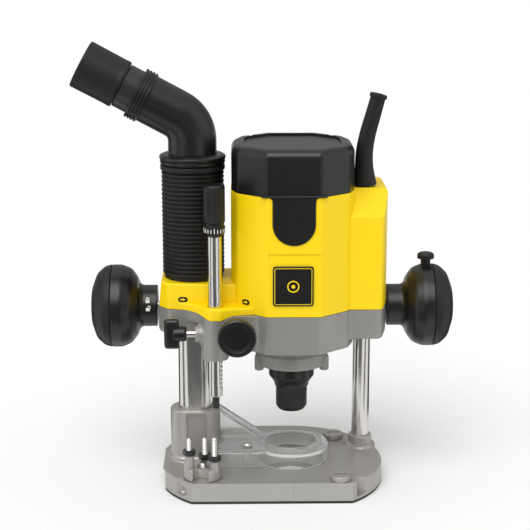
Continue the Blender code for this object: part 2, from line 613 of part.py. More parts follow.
def rack_comb():
    """A comb whose prongs cut the rack's gaps into the depth rod."""
    pitch = math.pi * GEAR_MODULE
    root, tip, back = RACK_LINE - 1.25, RACK_LINE + 1.0, 9.0
    slope = (tip - root) * math.tan(math.radians(20))
    first = PINION_Z - pitch * 13  # a gap at the pinion's own height
    half = pitch / 4 + 1.25 * math.tan(math.radians(20)) + RACK_PLAY
    outline = [(back, first - pitch)]
    for i in range(RACK_GAPS):
        middle = first + pitch * i
        outline += [(tip, middle - half), (root, middle - half + slope)]
        outline += [(root, middle + half - slope), (tip, middle + half)]
    outline.append((back, first + pitch * RACK_GAPS))
    return plate("rack_comb", outline, -8, 8, at=(ROD_X, ROD_Y, 0), turn=(90, 0, 0))


def make_depth_rod():
    """The depth rod with its rack, its sliding tip and the fine-adjust knob on top."""
    at = (ROD_X, ROD_Y, 0)
    profile = [(2.2, ROD_TOP), (ROD_R, ROD_TOP), (ROD_R, ROD_BOTTOM), (2.9, ROD_BOTTOM), (2.9, 81), (2.2, 81)]
    bar = turned("depth_rod", profile, at=at, material=STEEL, steps=20, ring=True)
    cut(bar, rack_comb())
    tip = [(0, 98), (1.9, 98), (1.9, 74.7), (2.6, 74.7), (2.6, 66.2), (2.0, 65.5), (0, 65.5)]
    turned("depth_rod_tip", tip, at=at, material=DARK_STEEL, steps=12)
    knob = [(0, 227), (6.4, 227), (7.35, 226), (7.35, 201), (6.3, 200), (6.3, 199)]
    knob += [(7.35, 198.2), (7.35, 193.5), (6.2, 191.4), (1.9, 191.4), (1.9, 165), (0, 165)]
    turned("fine_adjust_knob", knob, at=at, material=BLACK, steps=20)


def pinion_outline():
    """A straight-flanked gear outline; each corner is (radius, share of a tooth's angle)."""
    root, tip = PINION_R - 1.2, PINION_R + 0.85
    tooth = ((root, -0.35), (tip, -0.15), (tip, 0.15), (root, 0.35))
    outline = []
    for i in range(PINION_TEETH):
        for radius, share in tooth:
            angle = 2 * math.pi * (i + share) / PINION_TEETH
            outline.append((radius * math.cos(angle), radius * math.sin(angle)))
    return outline


def make_rack_drive():
    """The rack knob with its shaft, and the pinion on it."""
    at = (PINION_X, 0, PINION_Z)
    profile = [(0, 53.6), (9.6, 53.6), (10.4, 55.3), (12.4, 55.3), (13.5, 54.2), (13.5, 49.4), (12.6, 48.1)]
    profile += [(4.0, 48.1), (4.0, 29.2), (0, 29.2)]
    turned("rack_knob", profile, at=at, turn=(90, 0, 0), material=BLACK, steps=24)
    hole = [arc(0, 0, 4.3, 0, 337.5, 15)]
    plate("pinion_gear", pinion_outline(), 29.3, 36.8, hole, at=at, turn=(90, 0, 0), material=BRASS)


def make_rod_lock_knob():
    """The winged knob that clamps the depth rod, on a shaft along X."""
    at = (ROD_X, ROD_Y, 120.6)
    profile = [(0, 30), (4.6, 30), (5.4, 29), (5.4, 21.5), (4.2, 20), (2.5, 20), (2.5, 5.5), (0, 5.5)]
    knob = turned("rod_lock_knob", profile, at=at, turn=(0, -90, 0), material=BLACK, steps=20)
    wing = arc(-8.0, 0, 2.9, 90, 270, 5) + [(-2.5, -3.6), (2.5, -3.6)]
    wing += arc(8.0, 0, 2.9, -90, 90, 5) + [(2.5, 3.6), (-2.5, 3.6)]
    join(knob, plate("lock_wing", wing, 25.5, 36, at=at, turn=(0, -90, 0)))


# ---- handles and controls ----


def knob_radius_points():
    """The handle's outer form as (radius, distance from the seat)."""
    return [(15.0, 0), (15.0, 12.3), (20.0, 13.6), (25.5, 15.8), (28.8, 19.2), (29.8, 24), (29.8, KNOB_SPLIT),
            (29.8, 36.5), (28.4, 41), (24.5, 45), (18, 47.2), (0, KNOB_LENGTH)]


def make_handle(side, x, turn):
    """One round handle in two shells, hollow inside."""
    outer = knob_radius_points()
    first = [p for p in outer if p[1] <= KNOB_SPLIT]
    bore = 4.8 if side == "right" else 3.5
    inner_form = list(reversed(first)) + [(bore, 0), (bore, 17), (22, 20), (26, 24), (26, KNOB_SPLIT)]
    at = (x, HANDLE_Y, HANDLE_Z)
    inner = turned(side + "_handle_inner", inner_form, at=at, turn=turn, material=BLACK, steps=24, ring=True)
    second = [p for p in outer if p[1] > KNOB_SPLIT]
    seam = [(29.8, KNOB_SPLIT + GAP), (26, KNOB_SPLIT + GAP)]
    outer_form = list(reversed(second)) + seam + [(26, 38), (20, 44), (0, 44.6)]
    turned(side + "_handle_outer", outer_form, at=at, turn=turn, material=BLACK, steps=24)
    return inner


def make_left_handle():
    """The plunge-lock handle, its stud, and the pad that it presses on the column."""
    make_handle("left", LEFT_HANDLE_X, (0, -90, 0))
    stud = [(0, 14.2), (2.9, 14.2), (2.9, -11.3), (0, -11.3)]
    at = (LEFT_HANDLE_X, HANDLE_Y, HANDLE_Z)
    turned("lock_stud", stud, at=at, turn=(0, -90, 0), material=STEEL, steps=12)
    rod("plunge_lock_pad", 2.7, 0.1, 2.0, at=(LEFT_HANDLE_X + 14.1, HANDLE_Y, HANDLE_Z), turn=(0, -90, 0),
        material=BRASS, steps=12)


def make_right_handle():
    """The switch handle with its trigger, lock-on button and switch."""
    inner = make_handle("right", RIGHT_HANDLE_X, (0, 90, 0))
    cut(inner, box("trigger_window", (87.6, HANDLE_Y + 15, 119.6), (98.4, HANDLE_Y + 40, 142.4)))
    cut(inner, rod("button_way", 3.9, 145, 175, at=(LOCK_BUTTON_X, HANDLE_Y, 0)))
    box("switch_body", (90, -8, 121.5), (108, 19.5, 146.5), material=BLACK)
    low, high = (88, HANDLE_Y + 19.8, 120), (98, HANDLE_Y + 33.2, 142)
    box("trigger", low, high, material=BLACK, bevel=1.6)
    button = [(0, 169.6), (4.8, 169.6), (6.1, 168.4), (6.1, 165.6), (3.5, 165.0), (3.5, 151), (0, 151)]
    turned("lock_on_button", button, at=(LOCK_BUTTON_X, HANDLE_Y, 0), material=BLACK, steps=20)


def make_small_controls():
    """The spindle-lock button behind the nose and the speed dial behind the cap."""
    button = [(0, 34), (5.0, 34), (6.0, 33), (6.0, 30.4), (2.9, 30.4), (2.9, 13.2), (0, 13.2)]
    turned("spindle_lock_button", button, at=(0, 0, 94.6), turn=(-90, 0, 0), material=BLACK)
    dial = [(0, 46.4), (6.8, 46.4), (8.0, 45.4), (8.0, 39.9), (0, 39.9)]
    turned("speed_dial", dial, at=(0, 0, 236), turn=(-90, 0, 0), material=BLACK, steps=20)


# ---- dust outlet ----


def outlet_line(start_z, end, count=6):
    """The outlet's centre line from a height on the upright axis to a distance along the tilted one."""
    bend = OUTLET_BEND_R * math.tan(math.radians(OUTLET_TURN / 2))
    points = [(0, 0, start_z)]
    for i in range(count + 1):
        turn = math.radians(OUTLET_TURN * i / count)
        height = OUTLET_CORNER_Z - bend + OUTLET_BEND_R * math.sin(turn)
        points.append((OUTLET_BEND_R * (math.cos(turn) - 1), 0, height))
    tilt = math.radians(OUTLET_TURN)
    points.append((-end * math.sin(tilt), 0, OUTLET_CORNER_Z + end * math.cos(tilt)))
    return points


def make_outlet():
    """The swivelling elbow on the sleeve and the swivelling cuff on its end."""
    up = dict(at=(LEFT_X, LEFT_Y, 0))
    tilted = dict(at=(LEFT_X, LEFT_Y, OUTLET_CORNER_Z), turn=(0, -OUTLET_TURN, 0))
    elbow = sweep("hose_elbow", outlet_line(241, 40), 17.15, material=BLACK, sides=5, **up)
    flange = [(0, 243.2), (21.5, 243.2), (23.5, 241.8), (23.5, 237.6), (22.4, 236.4)]
    flange += [(16.6, 236.4), (16.6, 228), (0, 228)]
    collar = [(0, 44.8), (18.0, 44.8), (18.7, 44), (18.7, 36.6), (17.0, 35.4), (0, 35.4)]
    join(elbow, turned("elbow_flange", flange, steps=20, **up))
    join(elbow, turned("elbow_collar", collar, steps=20, **tilted))
    join(elbow, rod("elbow_neck", 15.9, 40, 55.4, steps=20, **tilted))
    join(elbow, rod("elbow_spigot", 14.3, 50, 66, steps=20, **tilted))
    cut(elbow, sweep("elbow_bore", outlet_line(220, 80), 12.9, sides=3, **up))
    cuff = [(16.2, 87.4), (17.4, 86.4), (17.4, 56.6), (16.6, 55.8), (14.7, 55.8), (14.7, 87.4)]
    turned("hose_cuff", cuff, material=RUBBER, steps=20, ring=True, **tilted)


def main():
    make_base_casting()
    make_sole()
    make_columns()
    make_shroud()
    make_clamp_screws()
    make_turret()
    pocket = pinion_pocket()
    make_carriage_casting(pocket)
    make_housing(pocket)
    make_cap()
    make_badge()
    make_sleeve()
    make_strain_relief()
    make_bushes()
    make_motor()
    make_collet()
    make_depth_rod()
    make_rack_drive()
    make_rod_lock_knob()
    make_left_handle()
    make_right_handle()
    make_small_controls()
    make_outlet()


main()
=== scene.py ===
import json
import math

import bmesh
import bpy
from mathutils import Euler, Matrix, Vector

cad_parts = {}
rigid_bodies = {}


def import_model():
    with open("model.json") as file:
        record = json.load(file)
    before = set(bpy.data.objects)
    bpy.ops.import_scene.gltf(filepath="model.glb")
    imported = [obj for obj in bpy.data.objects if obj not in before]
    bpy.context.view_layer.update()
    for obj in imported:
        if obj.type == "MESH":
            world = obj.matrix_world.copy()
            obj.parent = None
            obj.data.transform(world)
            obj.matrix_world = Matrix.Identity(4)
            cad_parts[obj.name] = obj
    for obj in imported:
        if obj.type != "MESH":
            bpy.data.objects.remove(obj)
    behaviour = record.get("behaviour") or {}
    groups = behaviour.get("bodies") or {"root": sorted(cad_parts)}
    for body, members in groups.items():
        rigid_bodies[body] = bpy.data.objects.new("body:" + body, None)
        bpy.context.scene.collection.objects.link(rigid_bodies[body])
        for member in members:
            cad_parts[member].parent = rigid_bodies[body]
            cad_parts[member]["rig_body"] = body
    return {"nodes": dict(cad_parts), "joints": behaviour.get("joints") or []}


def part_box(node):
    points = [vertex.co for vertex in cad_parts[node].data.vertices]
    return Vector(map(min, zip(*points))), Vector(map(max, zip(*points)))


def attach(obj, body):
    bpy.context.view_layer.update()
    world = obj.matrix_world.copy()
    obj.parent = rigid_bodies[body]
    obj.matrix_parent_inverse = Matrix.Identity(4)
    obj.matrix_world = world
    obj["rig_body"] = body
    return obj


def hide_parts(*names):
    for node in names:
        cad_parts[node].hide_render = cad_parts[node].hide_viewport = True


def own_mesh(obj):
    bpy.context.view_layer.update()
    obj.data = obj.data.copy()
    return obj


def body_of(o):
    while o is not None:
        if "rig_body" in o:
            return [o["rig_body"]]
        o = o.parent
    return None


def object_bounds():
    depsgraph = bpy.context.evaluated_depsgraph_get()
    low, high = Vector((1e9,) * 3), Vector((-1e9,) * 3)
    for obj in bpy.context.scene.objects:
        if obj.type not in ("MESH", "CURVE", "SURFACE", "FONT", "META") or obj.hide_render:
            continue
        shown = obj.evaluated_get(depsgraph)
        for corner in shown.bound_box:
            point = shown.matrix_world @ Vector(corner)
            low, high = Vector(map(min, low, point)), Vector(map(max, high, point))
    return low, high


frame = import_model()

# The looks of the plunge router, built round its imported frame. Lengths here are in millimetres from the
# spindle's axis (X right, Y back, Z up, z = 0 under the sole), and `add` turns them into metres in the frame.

CAD_LOW, CAD_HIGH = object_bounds()
MM = 0.001
JOINTS = {joint["name"]: joint for joint in frame["joints"]}
SPINDLE = Vector(JOINTS["spindle_spin"]["pos_m"]) / MM
SPINDLE.z = 0.0
FINE = 96  # segments of a large turned piece
SMALL = 40  # segments of a small one
WHOLE_TURN = 2 * math.pi
BEVEL_FROM, SHARP_FROM = 40, 32  # degrees between two faces
TO_FRONT, TO_BACK, TO_LEFT, TO_RIGHT = (90, 0, 0), (-90, 0, 0), (0, -90, 0), (0, 90, 0)  # turns of local Z


def extent(node):
    """A CAD node's lowest and highest corners."""
    low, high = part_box(node)
    return low / MM - SPINDLE, high / MM - SPINDLE


def middle(node):
    """The middle of a CAD node's box."""
    low, high = extent(node)
    return (low + high) / 2


def flat(place):
    """A place's point on z = 0."""
    return Vector((place.x, place.y, 0))


def upright(node):
    """Where a CAD node stands on z = 0, and its lowest and highest z."""
    low, high = extent(node)
    return flat((low + high) / 2), low.z, high.z


def pivot(joint):
    """A joint's place."""
    return Vector(JOINTS[joint]["pos_m"]) / MM - SPINDLE


# ---- materials ----


def add_node(tree, kind, **inputs):
    """A new shader node, with each input given a value or linked to another node's output."""
    made = tree.nodes.new("ShaderNode" + kind)
    if kind == "Mix":
        made.data_type = "RGBA"
    for name, value in inputs.items():
        socket = made.inputs[name.replace("_", " ")]
        if isinstance(value, bpy.types.NodeSocket):
            tree.links.new(value, socket)
        else:
            socket.default_value = value
    return made


def shade(colour, factor, lift=0.0):
    """A colour made lighter or darker, as RGBA."""
    return (*[min(c * factor + lift, 1) for c in colour], 1)


def surface(name, colour, rough, metal=0.0, vary=0.08, patch=14.0, grain=900.0, bump=0.02, stretch=(1, 1, 1),
            edge=0.0, **inputs):
    """A procedural finish: broad colour patches, fine grain in roughness and height, and a painted highlight
    that makes convex edges paler.
    """
    made = bpy.data.materials.new(name)
    made.use_nodes = True
    tree = made.node_tree
    shader = tree.nodes["Principled BSDF"]
    shader.inputs["Metallic"].default_value = metal
    for socket, value in inputs.items():
        shader.inputs[socket.replace("_", " ")].default_value = value
    where = add_node(tree, "TexCoord").outputs["Object"]
    drawn = add_node(tree, "Mapping", Vector=where, Scale=stretch).outputs["Vector"]
    broad = add_node(tree, "TexNoise", Vector=where, Scale=patch, Detail=5.0).outputs["Fac"]
    fine = add_node(tree, "TexNoise", Vector=drawn, Scale=grain, Detail=4.0).outputs["Fac"]

    tint = add_node(tree, "Mix", A=shade(colour, 1 - vary), B=shade(colour, 1 + vary), Factor=broad)
    # Painted highlight: convex edges, found by their pointiness, are drawn paler, up to the strength edge.
    if edge:
        pointed = add_node(tree, "NewGeometry").outputs["Pointiness"]
        edge_highlight = add_node(tree, "MapRange", Value=pointed, From_Min=0.515, From_Max=0.6, To_Max=edge)
        tint = add_node(tree, "Mix", A=tint.outputs["Result"], B=shade(colour, 1.5, 0.06),
                        Factor=edge_highlight.outputs["Result"])
    tree.links.new(tint.outputs["Result"], shader.inputs["Base Color"])

    low, high = rough
    spread = add_node(tree, "MapRange", Value=fine, From_Min=0.3, From_Max=0.7, To_Min=low, To_Max=high)
    tree.links.new(spread.outputs["Result"], shader.inputs["Roughness"])
    height = add_node(tree, "Bump", Height=fine, Strength=0.5, Distance=bump * MM)
    tree.links.new(height.outputs["Normal"], shader.inputs["Normal"])
    return made


ALONG_Z = (1, 1, 0.02)
ALONG_X = (0.03, 1, 1)
# edge is the strength of a painted highlight that makes convex edges paler.
LOOKS = {
    "yellow_plastic": dict(colour=(0.93, 0.66, 0.0), rough=(0.36, 0.48), vary=0.02, grain=1500, bump=0.03,
                           Specular_IOR_Level=0.35),
    "black_plastic": dict(colour=(0.0065, 0.0065, 0.006), rough=(0.26, 0.4), vary=0.15, grain=1800,
                          bump=0.05, edge=0.2, Specular_IOR_Level=0.48),
    "black_rubber": dict(colour=(0.0095, 0.0093, 0.009), rough=(0.4, 0.54), vary=0.2, grain=1300,
                         bump=0.05, Specular_IOR_Level=0.35),
    "grey_casting": dict(colour=(0.31, 0.305, 0.285), rough=(0.36, 0.55), metal=0.4, vary=0.1, patch=30,
                         grain=1100, bump=0.07, edge=0.5),
    "base_aluminium": dict(colour=(0.4, 0.385, 0.36), rough=(0.32, 0.48), metal=0.6, vary=0.07, patch=35,
                           grain=1000, bump=0.05, edge=0.5),
    "machined_face": dict(colour=(0.43, 0.42, 0.4), rough=(0.3, 0.46), metal=0.6, vary=0.05, patch=25,
                          grain=2200, bump=0.03, stretch=ALONG_X),
    "polished_steel": dict(colour=(0.72, 0.705, 0.68), rough=(0.12, 0.26), metal=1.0, vary=0.04, patch=20,
                           grain=2600, bump=0.012, stretch=ALONG_Z),
    "dark_steel": dict(colour=(0.035, 0.035, 0.036), rough=(0.28, 0.42), metal=0.7, vary=0.2, grain=1500,
                       bump=0.03, edge=0.5),
    "clear_plastic": dict(colour=(0.97, 0.98, 0.97), rough=(0.05, 0.14), vary=0.02, grain=300, bump=0.01,
                          Transmission_Weight=0.86, IOR=1.45),
    "copper": dict(colour=(0.75, 0.33, 0.18), rough=(0.25, 0.4), metal=1.0, grain=1200, bump=0.03),
    "brass": dict(colour=(0.72, 0.52, 0.22), rough=(0.22, 0.38), metal=1.0, grain=1200, bump=0.03),
    "carbon": dict(colour=(0.03, 0.03, 0.03), rough=(0.6, 0.8), vary=0.3, grain=1600, bump=0.05),
    "mark_white": dict(colour=(0.85, 0.85, 0.83), rough=(0.4, 0.5), vary=0.04, grain=1500, bump=0.01),
    "pale_floor": dict(colour=(0.87, 0.87, 0.87), rough=(0.7, 0.8), vary=0.006, patch=2.0, grain=400,
                       bump=0.01, Specular_IOR_Level=0.0),
}
FINISHES = {name: surface(name, **look) for name, look in LOOKS.items()}


# ---- shapes ----


def put(name, data):
    """A new object in the scene."""
    obj = bpy.data.objects.new(name, data)
    bpy.context.scene.collection.objects.link(obj)
    return obj


def add(name, shape, at=(0, 0, 0), turn=(0, 0, 0)):
    """Makes an object of a bmesh drawn in millimetres: turned, moved, and put in the frame."""
    rotation = Euler([math.radians(v) for v in turn]).to_matrix().to_4x4()
    shape.transform(Matrix.Translation((SPINDLE + Vector(at)) * MM) @ rotation @ Matrix.Scale(MM, 4))
    bmesh.ops.recalc_face_normals(shape, faces=shape.faces)
    mesh = bpy.data.meshes.new(name)
    shape.to_mesh(mesh)
    shape.free()
    return put(name, mesh)


def soften(points, closed, steps=5):
    """Points with each corner that gives a radius turned into a curve: (a, b) or (a, b, radius)."""
    path, count = [], len(points)
    for i, point in enumerate(points):
        here = Vector(point[:2])
        radius = point[2] if len(point) > 2 else 0.0
        if radius <= 0 or (not closed and i in (0, count - 1)):
            path.append(here)
            continue
        before = Vector(points[i - 1][:2]) - here
        after = Vector(points[(i + 1) % count][:2]) - here
        bend = math.pi - before.angle(after)
        reach = min(radius * math.tan(bend / 2), before.length * 0.49, after.length * 0.49)
        start, end = here + before.normalized() * reach, here + after.normalized() * reach
        for k in range(steps + 1):
            t = k / steps
            path.append(start * (1 - t) ** 2 + here * 2 * t * (1 - t) + end * t ** 2)
    return path


def bridge(shape, lower, upper):
    """Faces between two rings, either of which may be a single point."""
    count = max(len(lower), len(upper))
    for i in range(count):
        j = (i + 1) % count
        corners = [lower[i % len(lower)], lower[j % len(lower)], upper[j % len(upper)], upper[i % len(upper)]]
        face = [v for k, v in enumerate(corners) if v not in corners[:k]]
        if len(face) > 2:
            shape.faces.new(face)


def skin(shape, rings, capped=False):
    """Faces between each ring and the next, and over both ends where it is capped."""
    for lower, upper in zip(rings, rings[1:]):
        bridge(shape, lower, upper)
    if capped:
        shape.faces.new(rings[0])
        shape.faces.new(rings[-1])


def lathe(name, profile, at=(0, 0, 0), turn=(0, 0, 0), closed=False, segments=FINE, flutes=None):
    """A turned piece: a profile of (radius, height, rounding) points spun about local Z.

    flutes is (count, depth, low, high): grooves along the axis between two heights.
    """
    shape, rings = bmesh.new(), []
    for radius, height in soften(profile, closed):
        if radius < 0.001:
            rings.append([shape.verts.new((0, 0, height))])
            continue
        ring = []
        for i in range(segments):
            angle = WHOLE_TURN * i / segments
            r = radius
            if flutes and flutes[2] <= height <= flutes[3]:
                r -= flutes[1] * (0.5 - 0.5 * math.cos(flutes[0] * angle))
            ring.append(shape.verts.new((r * math.cos(angle), r * math.sin(angle), height)))
        rings.append(ring)
    skin(shape, rings)
    if closed:
        bridge(shape, rings[-1], rings[0])
    return add(name, shape, at, turn)


def cylinder(name, radius, low, high, segments=FINE, **places):
    """A plain round body for Boolean work."""
    return lathe(name, [(0, low), (radius, low), (radius, high), (0, high)], segments=segments, **places)


def drill(name, at, radius, low, high):
    """A small upright cylinder."""
    return cylinder(name, radius, low, high, SMALL, at=at)


def inset_outline(corners, inset):
    """A counter-clockwise outline moved inwards, with the same number of corners."""
    moved, count = [], len(corners)
    for i, corner in enumerate(corners):
        here = Vector(corner[:2])
        to_here = (here - Vector(corners[i - 1][:2])).normalized()
        onward = (Vector(corners[(i + 1) % count][:2]) - here).normalized()
        inward = Vector((-to_here.y, to_here.x)) + Vector((-onward.y, onward.x))
        inward /= max(1 + to_here.dot(onward), 0.2)
        radius = corner[2] if len(corner) > 2 else 0.0
        if radius:
            turns_left = to_here.x * onward.y - to_here.y * onward.x > 0
            radius = max(radius - inset if turns_left else radius + inset, 0.1)
        moved.append((*(here + inward * inset), radius))
    return moved


def slab(name, corners, low, high, low_round=0.0, high_round=0.0, at=(0, 0, 0), turn=(0, 0, 0), steps=4):
    """An outline of (x, y, radius) corners raised between two heights, with rounded rims."""
    levels = []
    for edge, rounding, side in ((low, low_round, 1), (high, high_round, -1)):
        rim = []
        for k in range(steps + 1 if rounding else 1):
            a = math.pi / 2 * (k / steps if rounding else 1)
            rim.append((rounding * (1 - math.sin(a)), edge + side * rounding * (1 - math.cos(a))))
        levels += rim[::side]
    shape, rings = bmesh.new(), []
    for inset, height in levels:
        outline = soften(inset_outline(corners, inset), True, 6)
        rings.append([shape.verts.new((*point, height)) for point in outline])
    skin(shape, rings, capped=True)
    return add(name, shape, at, turn)


def rectangle(x0, y0, x1, y1, radius):
    """Four corners, each rounded to the radius."""
    return [(x0, y0, radius), (x1, y0, radius), (x1, y1, radius), (x0, y1, radius)]


def block(name, low, high, turn=(0, 0, 0), rounding=0.0):
    """A block between two corners, turned about its middle, with rounded upright edges."""
    half = (Vector(high) - Vector(low)) / 2
    centre = (Vector(high) + Vector(low)) / 2
    corners = rectangle(-half.x, -half.y, half.x, half.y, rounding)
    return slab(name, corners, -half.z, half.z, at=centre, turn=turn)


def groove(at, length, width, low, high, turn=0):
    """A straight cut across a screw's head."""
    x, y = length / 2, width / 2
    return block("groove", (at.x - x, at.y - y, low), (at.x + x, at.y + y, high), (0, 0, turn))


def spin(obj, degrees, about=Vector((0, 0, 0))):
    """Moves a piece drawn at the spindle to another axis, turned about it."""
    moved = Matrix.Translation((SPINDLE + about) * MM) @ Matrix.Rotation(math.radians(degrees), 4, "Z")
    obj.data.transform(moved @ Matrix.Translation(-SPINDLE * MM))


def arc(cx, cy, radius, start, end, count):
    """Points along an arc, angles in degrees."""
    turns = [math.radians(start + (end - start) * i / count) for i in range(count + 1)]
    return [(cx + radius * math.cos(a), cy + radius * math.sin(a)) for a in turns]


def oval(half, radius, count=24):
    """Two half rounds joined by straight sides, long in X."""
    return arc(half, 0, radius, -90, 90, count) + arc(-half, 0, radius, 90, 270, count)


def hexagon(radius):
    """Six corners at the radius."""
    return arc(0, 0, radius, 0, 300, 5)


def smooth_route(points, count):
    """A Catmull-Rom curve through points, count steps to each stretch."""
    ends = [points[0] * 2 - points[1], *points, points[-1] * 2 - points[-2]]
    route = []
    for a, b, c, d in zip(ends, ends[1:], ends[2:], ends[3:]):
        for k in range(count):
            t = k / count
            route.append(0.5 * (2 * b + (c - a) * t + (2 * a - 5 * b + 4 * c - d) * t ** 2
                                + (3 * b - a - 3 * c + d) * t ** 3))
    return route + [points[-1]]


def tube_along(name, route, radii, at=(0, 0, 0), segments=48):
    """A round bar along points, with a radius at each."""
    shape, rings = bmesh.new(), []
    across = None
    for i, point in enumerate(route):
        ahead = (route[min(i + 1, len(route) - 1)] - route[max(i - 1, 0)]).normalized()
        if across is None:
            across = ahead.orthogonal().normalized()
        across = (across - ahead * across.dot(ahead)).normalized()
        side = ahead.cross(across)
        ring = []
        for k in range(segments):
            a = WHOLE_TURN * k / segments
            ring.append(shape.verts.new(point + (across * math.cos(a) + side * math.sin(a)) * radii[i]))
        rings.append(ring)
    skin(shape, rings, capped=True)
    return add(name, shape, at)


def bake(obj):
    """Turns an object's modifiers into mesh."""
    graph = bpy.context.evaluated_depsgraph_get()
    made = bpy.data.meshes.new_from_object(obj.evaluated_get(graph))
    obj.modifiers.clear()
    old, obj.data = obj.data, made
    bpy.data.meshes.remove(old)
    return obj


def combine(obj, operation, tools):
    """Boolean work with each tool, which is used up."""
    for tool in tools:
        step = obj.modifiers.new("shape", "BOOLEAN")
        step.operation = operation
        step.solver = "MANIFOLD"
        step.object = tool
    bake(obj)
    for tool in tools:
        bpy.data.objects.remove(tool, do_unlink=True)
    return obj


def carve(obj, *tools):
    """Takes each tool's shape away."""
    return combine(obj, "DIFFERENCE", tools)


def unite(obj, *tools):
    """Adds each tool's shape."""
    return combine(obj, "UNION", tools)


def melt(obj, voxel, passes):
    """Runs the joined shapes into one cast body with soft inner and outer corners."""
    step = obj.modifiers.new("melt", "REMESH")
    step.mode = "VOXEL"
    step.voxel_size = voxel * MM
    relax = obj.modifiers.new("relax", "SMOOTH")
    relax.factor = 0.5
    relax.iterations = passes
    return bake(obj)


def round_edges(obj, width):
    """A narrow bevel on the edges that turn by more than BEVEL_FROM degrees."""
    step = obj.modifiers.new("edges", "BEVEL")
    step.width = width * MM
    step.segments = 2
    step.limit_method = "ANGLE"
    step.angle_limit = math.radians(BEVEL_FROM)


def paint(obj, finish):
    """Gives a piece one finish all over."""
    obj.data.materials.clear()
    obj.data.materials.append(FINISHES[finish])


def show(obj, finish, *nodes, body=None, bevel=0.0):
    """Finishes a piece, puts it on its CAD body and hides the CAD nodes that it stands for."""
    if bevel:
        round_edges(obj, bevel)
        bake(obj)
    obj.data.shade_smooth()
    obj.data.set_sharp_from_angle(angle=math.radians(SHARP_FROM))
    even = obj.modifiers.new("even_shading", "WEIGHTED_NORMAL")
    even.keep_sharp = True
    even.weight = 80
    paint(obj, finish)
    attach(obj, body or body_of(frame["nodes"][nodes[0]])[0])
    if nodes:
        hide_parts(*nodes)
    return obj


def turned(node, finish, profile, **places):
    """A turned piece that stands for one CAD node."""
    return show(lathe(node + "_visual", profile, **places), finish, node)


def repaint(obj, finish, test):
    """Gives the faces that pass the test another finish."""
    obj.data.materials.append(FINISHES[finish])
    last = len(obj.data.materials) - 1
    for face in obj.data.polygons:
        if test(face):
            face.material_index = last


# ---- base ----

BASE_R, BASE_CX, BASE_LEFT, BASE_FRONT, BASE_TOP = 67.0, -30.0, -92.0, -52.0, 15.5
CLAMP_R = 7.5
OVAL = 4.0  # half the straight side of the oval dust column
DUCT_R, TOWER_HALF = 6.0, 5.35
CAST = 0.75  # voxel of the cast pieces
FENCE_ROD_Y, FENCE_ROD_Z = (-45.0, 40.0), 8.0


def base_outline(spare=0.0):
    """Two R67 rounds and straight sides, cut off flat in front and at the left."""
    front, left = BASE_FRONT - spare, BASE_LEFT - spare
    front_angle = math.degrees(math.asin(-front / BASE_R))
    left_angle = math.degrees(math.acos((BASE_CX - left) / BASE_R))
    points = arc(0, 0, BASE_R, -front_angle, 90, 60)
    points += arc(BASE_CX, 0, BASE_R, 90, 180 - left_angle, 30)
    return points + arc(BASE_CX, 0, BASE_R, 180 + left_angle, 180 + front_angle, 14)


def make_base():
    """The cast base with its tower and collar."""
    low, high = extent("base_casting")
    tower, column = flat(middle("left_column")), flat(middle("right_column"))
    base = slab("base_casting_visual", base_outline(2), low.z - 2, BASE_TOP, 0, 0.6)
    foot = [(0, 10), (11.6, 10), (11.6, BASE_TOP + 1.4, 1.0), (8.7, BASE_TOP + 3, 1.0), (0, BASE_TOP + 3)]
    unite(base, slab("tower", oval(TOWER_HALF, 13.0), BASE_TOP - 4, high.z, 0, 1.2, at=tower),
          slab("tower_foot", oval(TOWER_HALF, 14.6), BASE_TOP - 4, BASE_TOP + 3.5, 0, 1.0, at=tower),
          lathe("collar_foot", foot, at=column))
    melt(base, CAST, 5)
    carve(base, block("below", (-140, -120, -10), (120, 120, low.z)),
          block("before", (-140, -90, -9), (120, BASE_FRONT, 31)),
          block("beside", (-140, -90, -8), (BASE_LEFT, 90, 14.6)))
    unite(base, lathe("collar", [(0, 12), (8.7, 12), (8.7, 24.5, 0.8), (0, 24.5)], at=column))
    front_y = FENCE_ROD_Y[0]
    tools = [
        slab("socket", oval(OVAL, 8.3), 30, 60, at=tower),
        slab("duct", oval(OVAL, DUCT_R), 9, 31, at=tower),
        block("side_port", (-64, -4, 17.5), (-45, 9, 29)),
        slab("channel", rectangle(-7.5, 19.5, 7.5, 52.5, 2.2), 9.4, 16, at=(-69.3, 0, 0), turn=TO_FRONT),
        cylinder("column_socket", 6.8, 4, 26, at=column),
        cylinder("opening", 24, -3, 20),
        drill("turret_bore", flat(pivot("turret_turn")), 2.8, 7, 17),
        drill("tip_recess", flat(middle("depth_rod")), 4, 5, 17),
        drill("shroud_screw_bore", flat(middle("shroud_screw")), 1.9, 9, 17),
        block("centre_mark", (-0.2, BASE_FRONT - 1, 3.4), (0.2, BASE_FRONT + 0.35, 20)),
        block("notch_right", (45, front_y - 4.6, 3.8), (62, front_y + 4.6, 16.4), rounding=1.2),
        block("notch_left", (-98, front_y - 4.0, 3.8), (-79.5, front_y + 4.6, 16.4), rounding=1.2),
    ]
    for side, y in zip(("front", "rear"), FENCE_ROD_Y):
        rod_line = dict(at=(0, y, FENCE_ROD_Z), turn=TO_RIGHT)
        tools.append(cylinder("rod_hole_" + side, 4.15, -110, 90, SMALL, **rod_line))
        tools.append(drill("clamp_hole_" + side, flat(pivot(side + "_clamp_turn")), 3.1, 8, 17))
    carve(base, *tools)
    show(base, "base_aluminium", "base_casting")
    front = (SPINDLE.y + BASE_FRONT) * MM
    repaint(base, "machined_face", lambda face: face.normal.y < -0.98 and abs(face.center.y - front) < 0.0002)


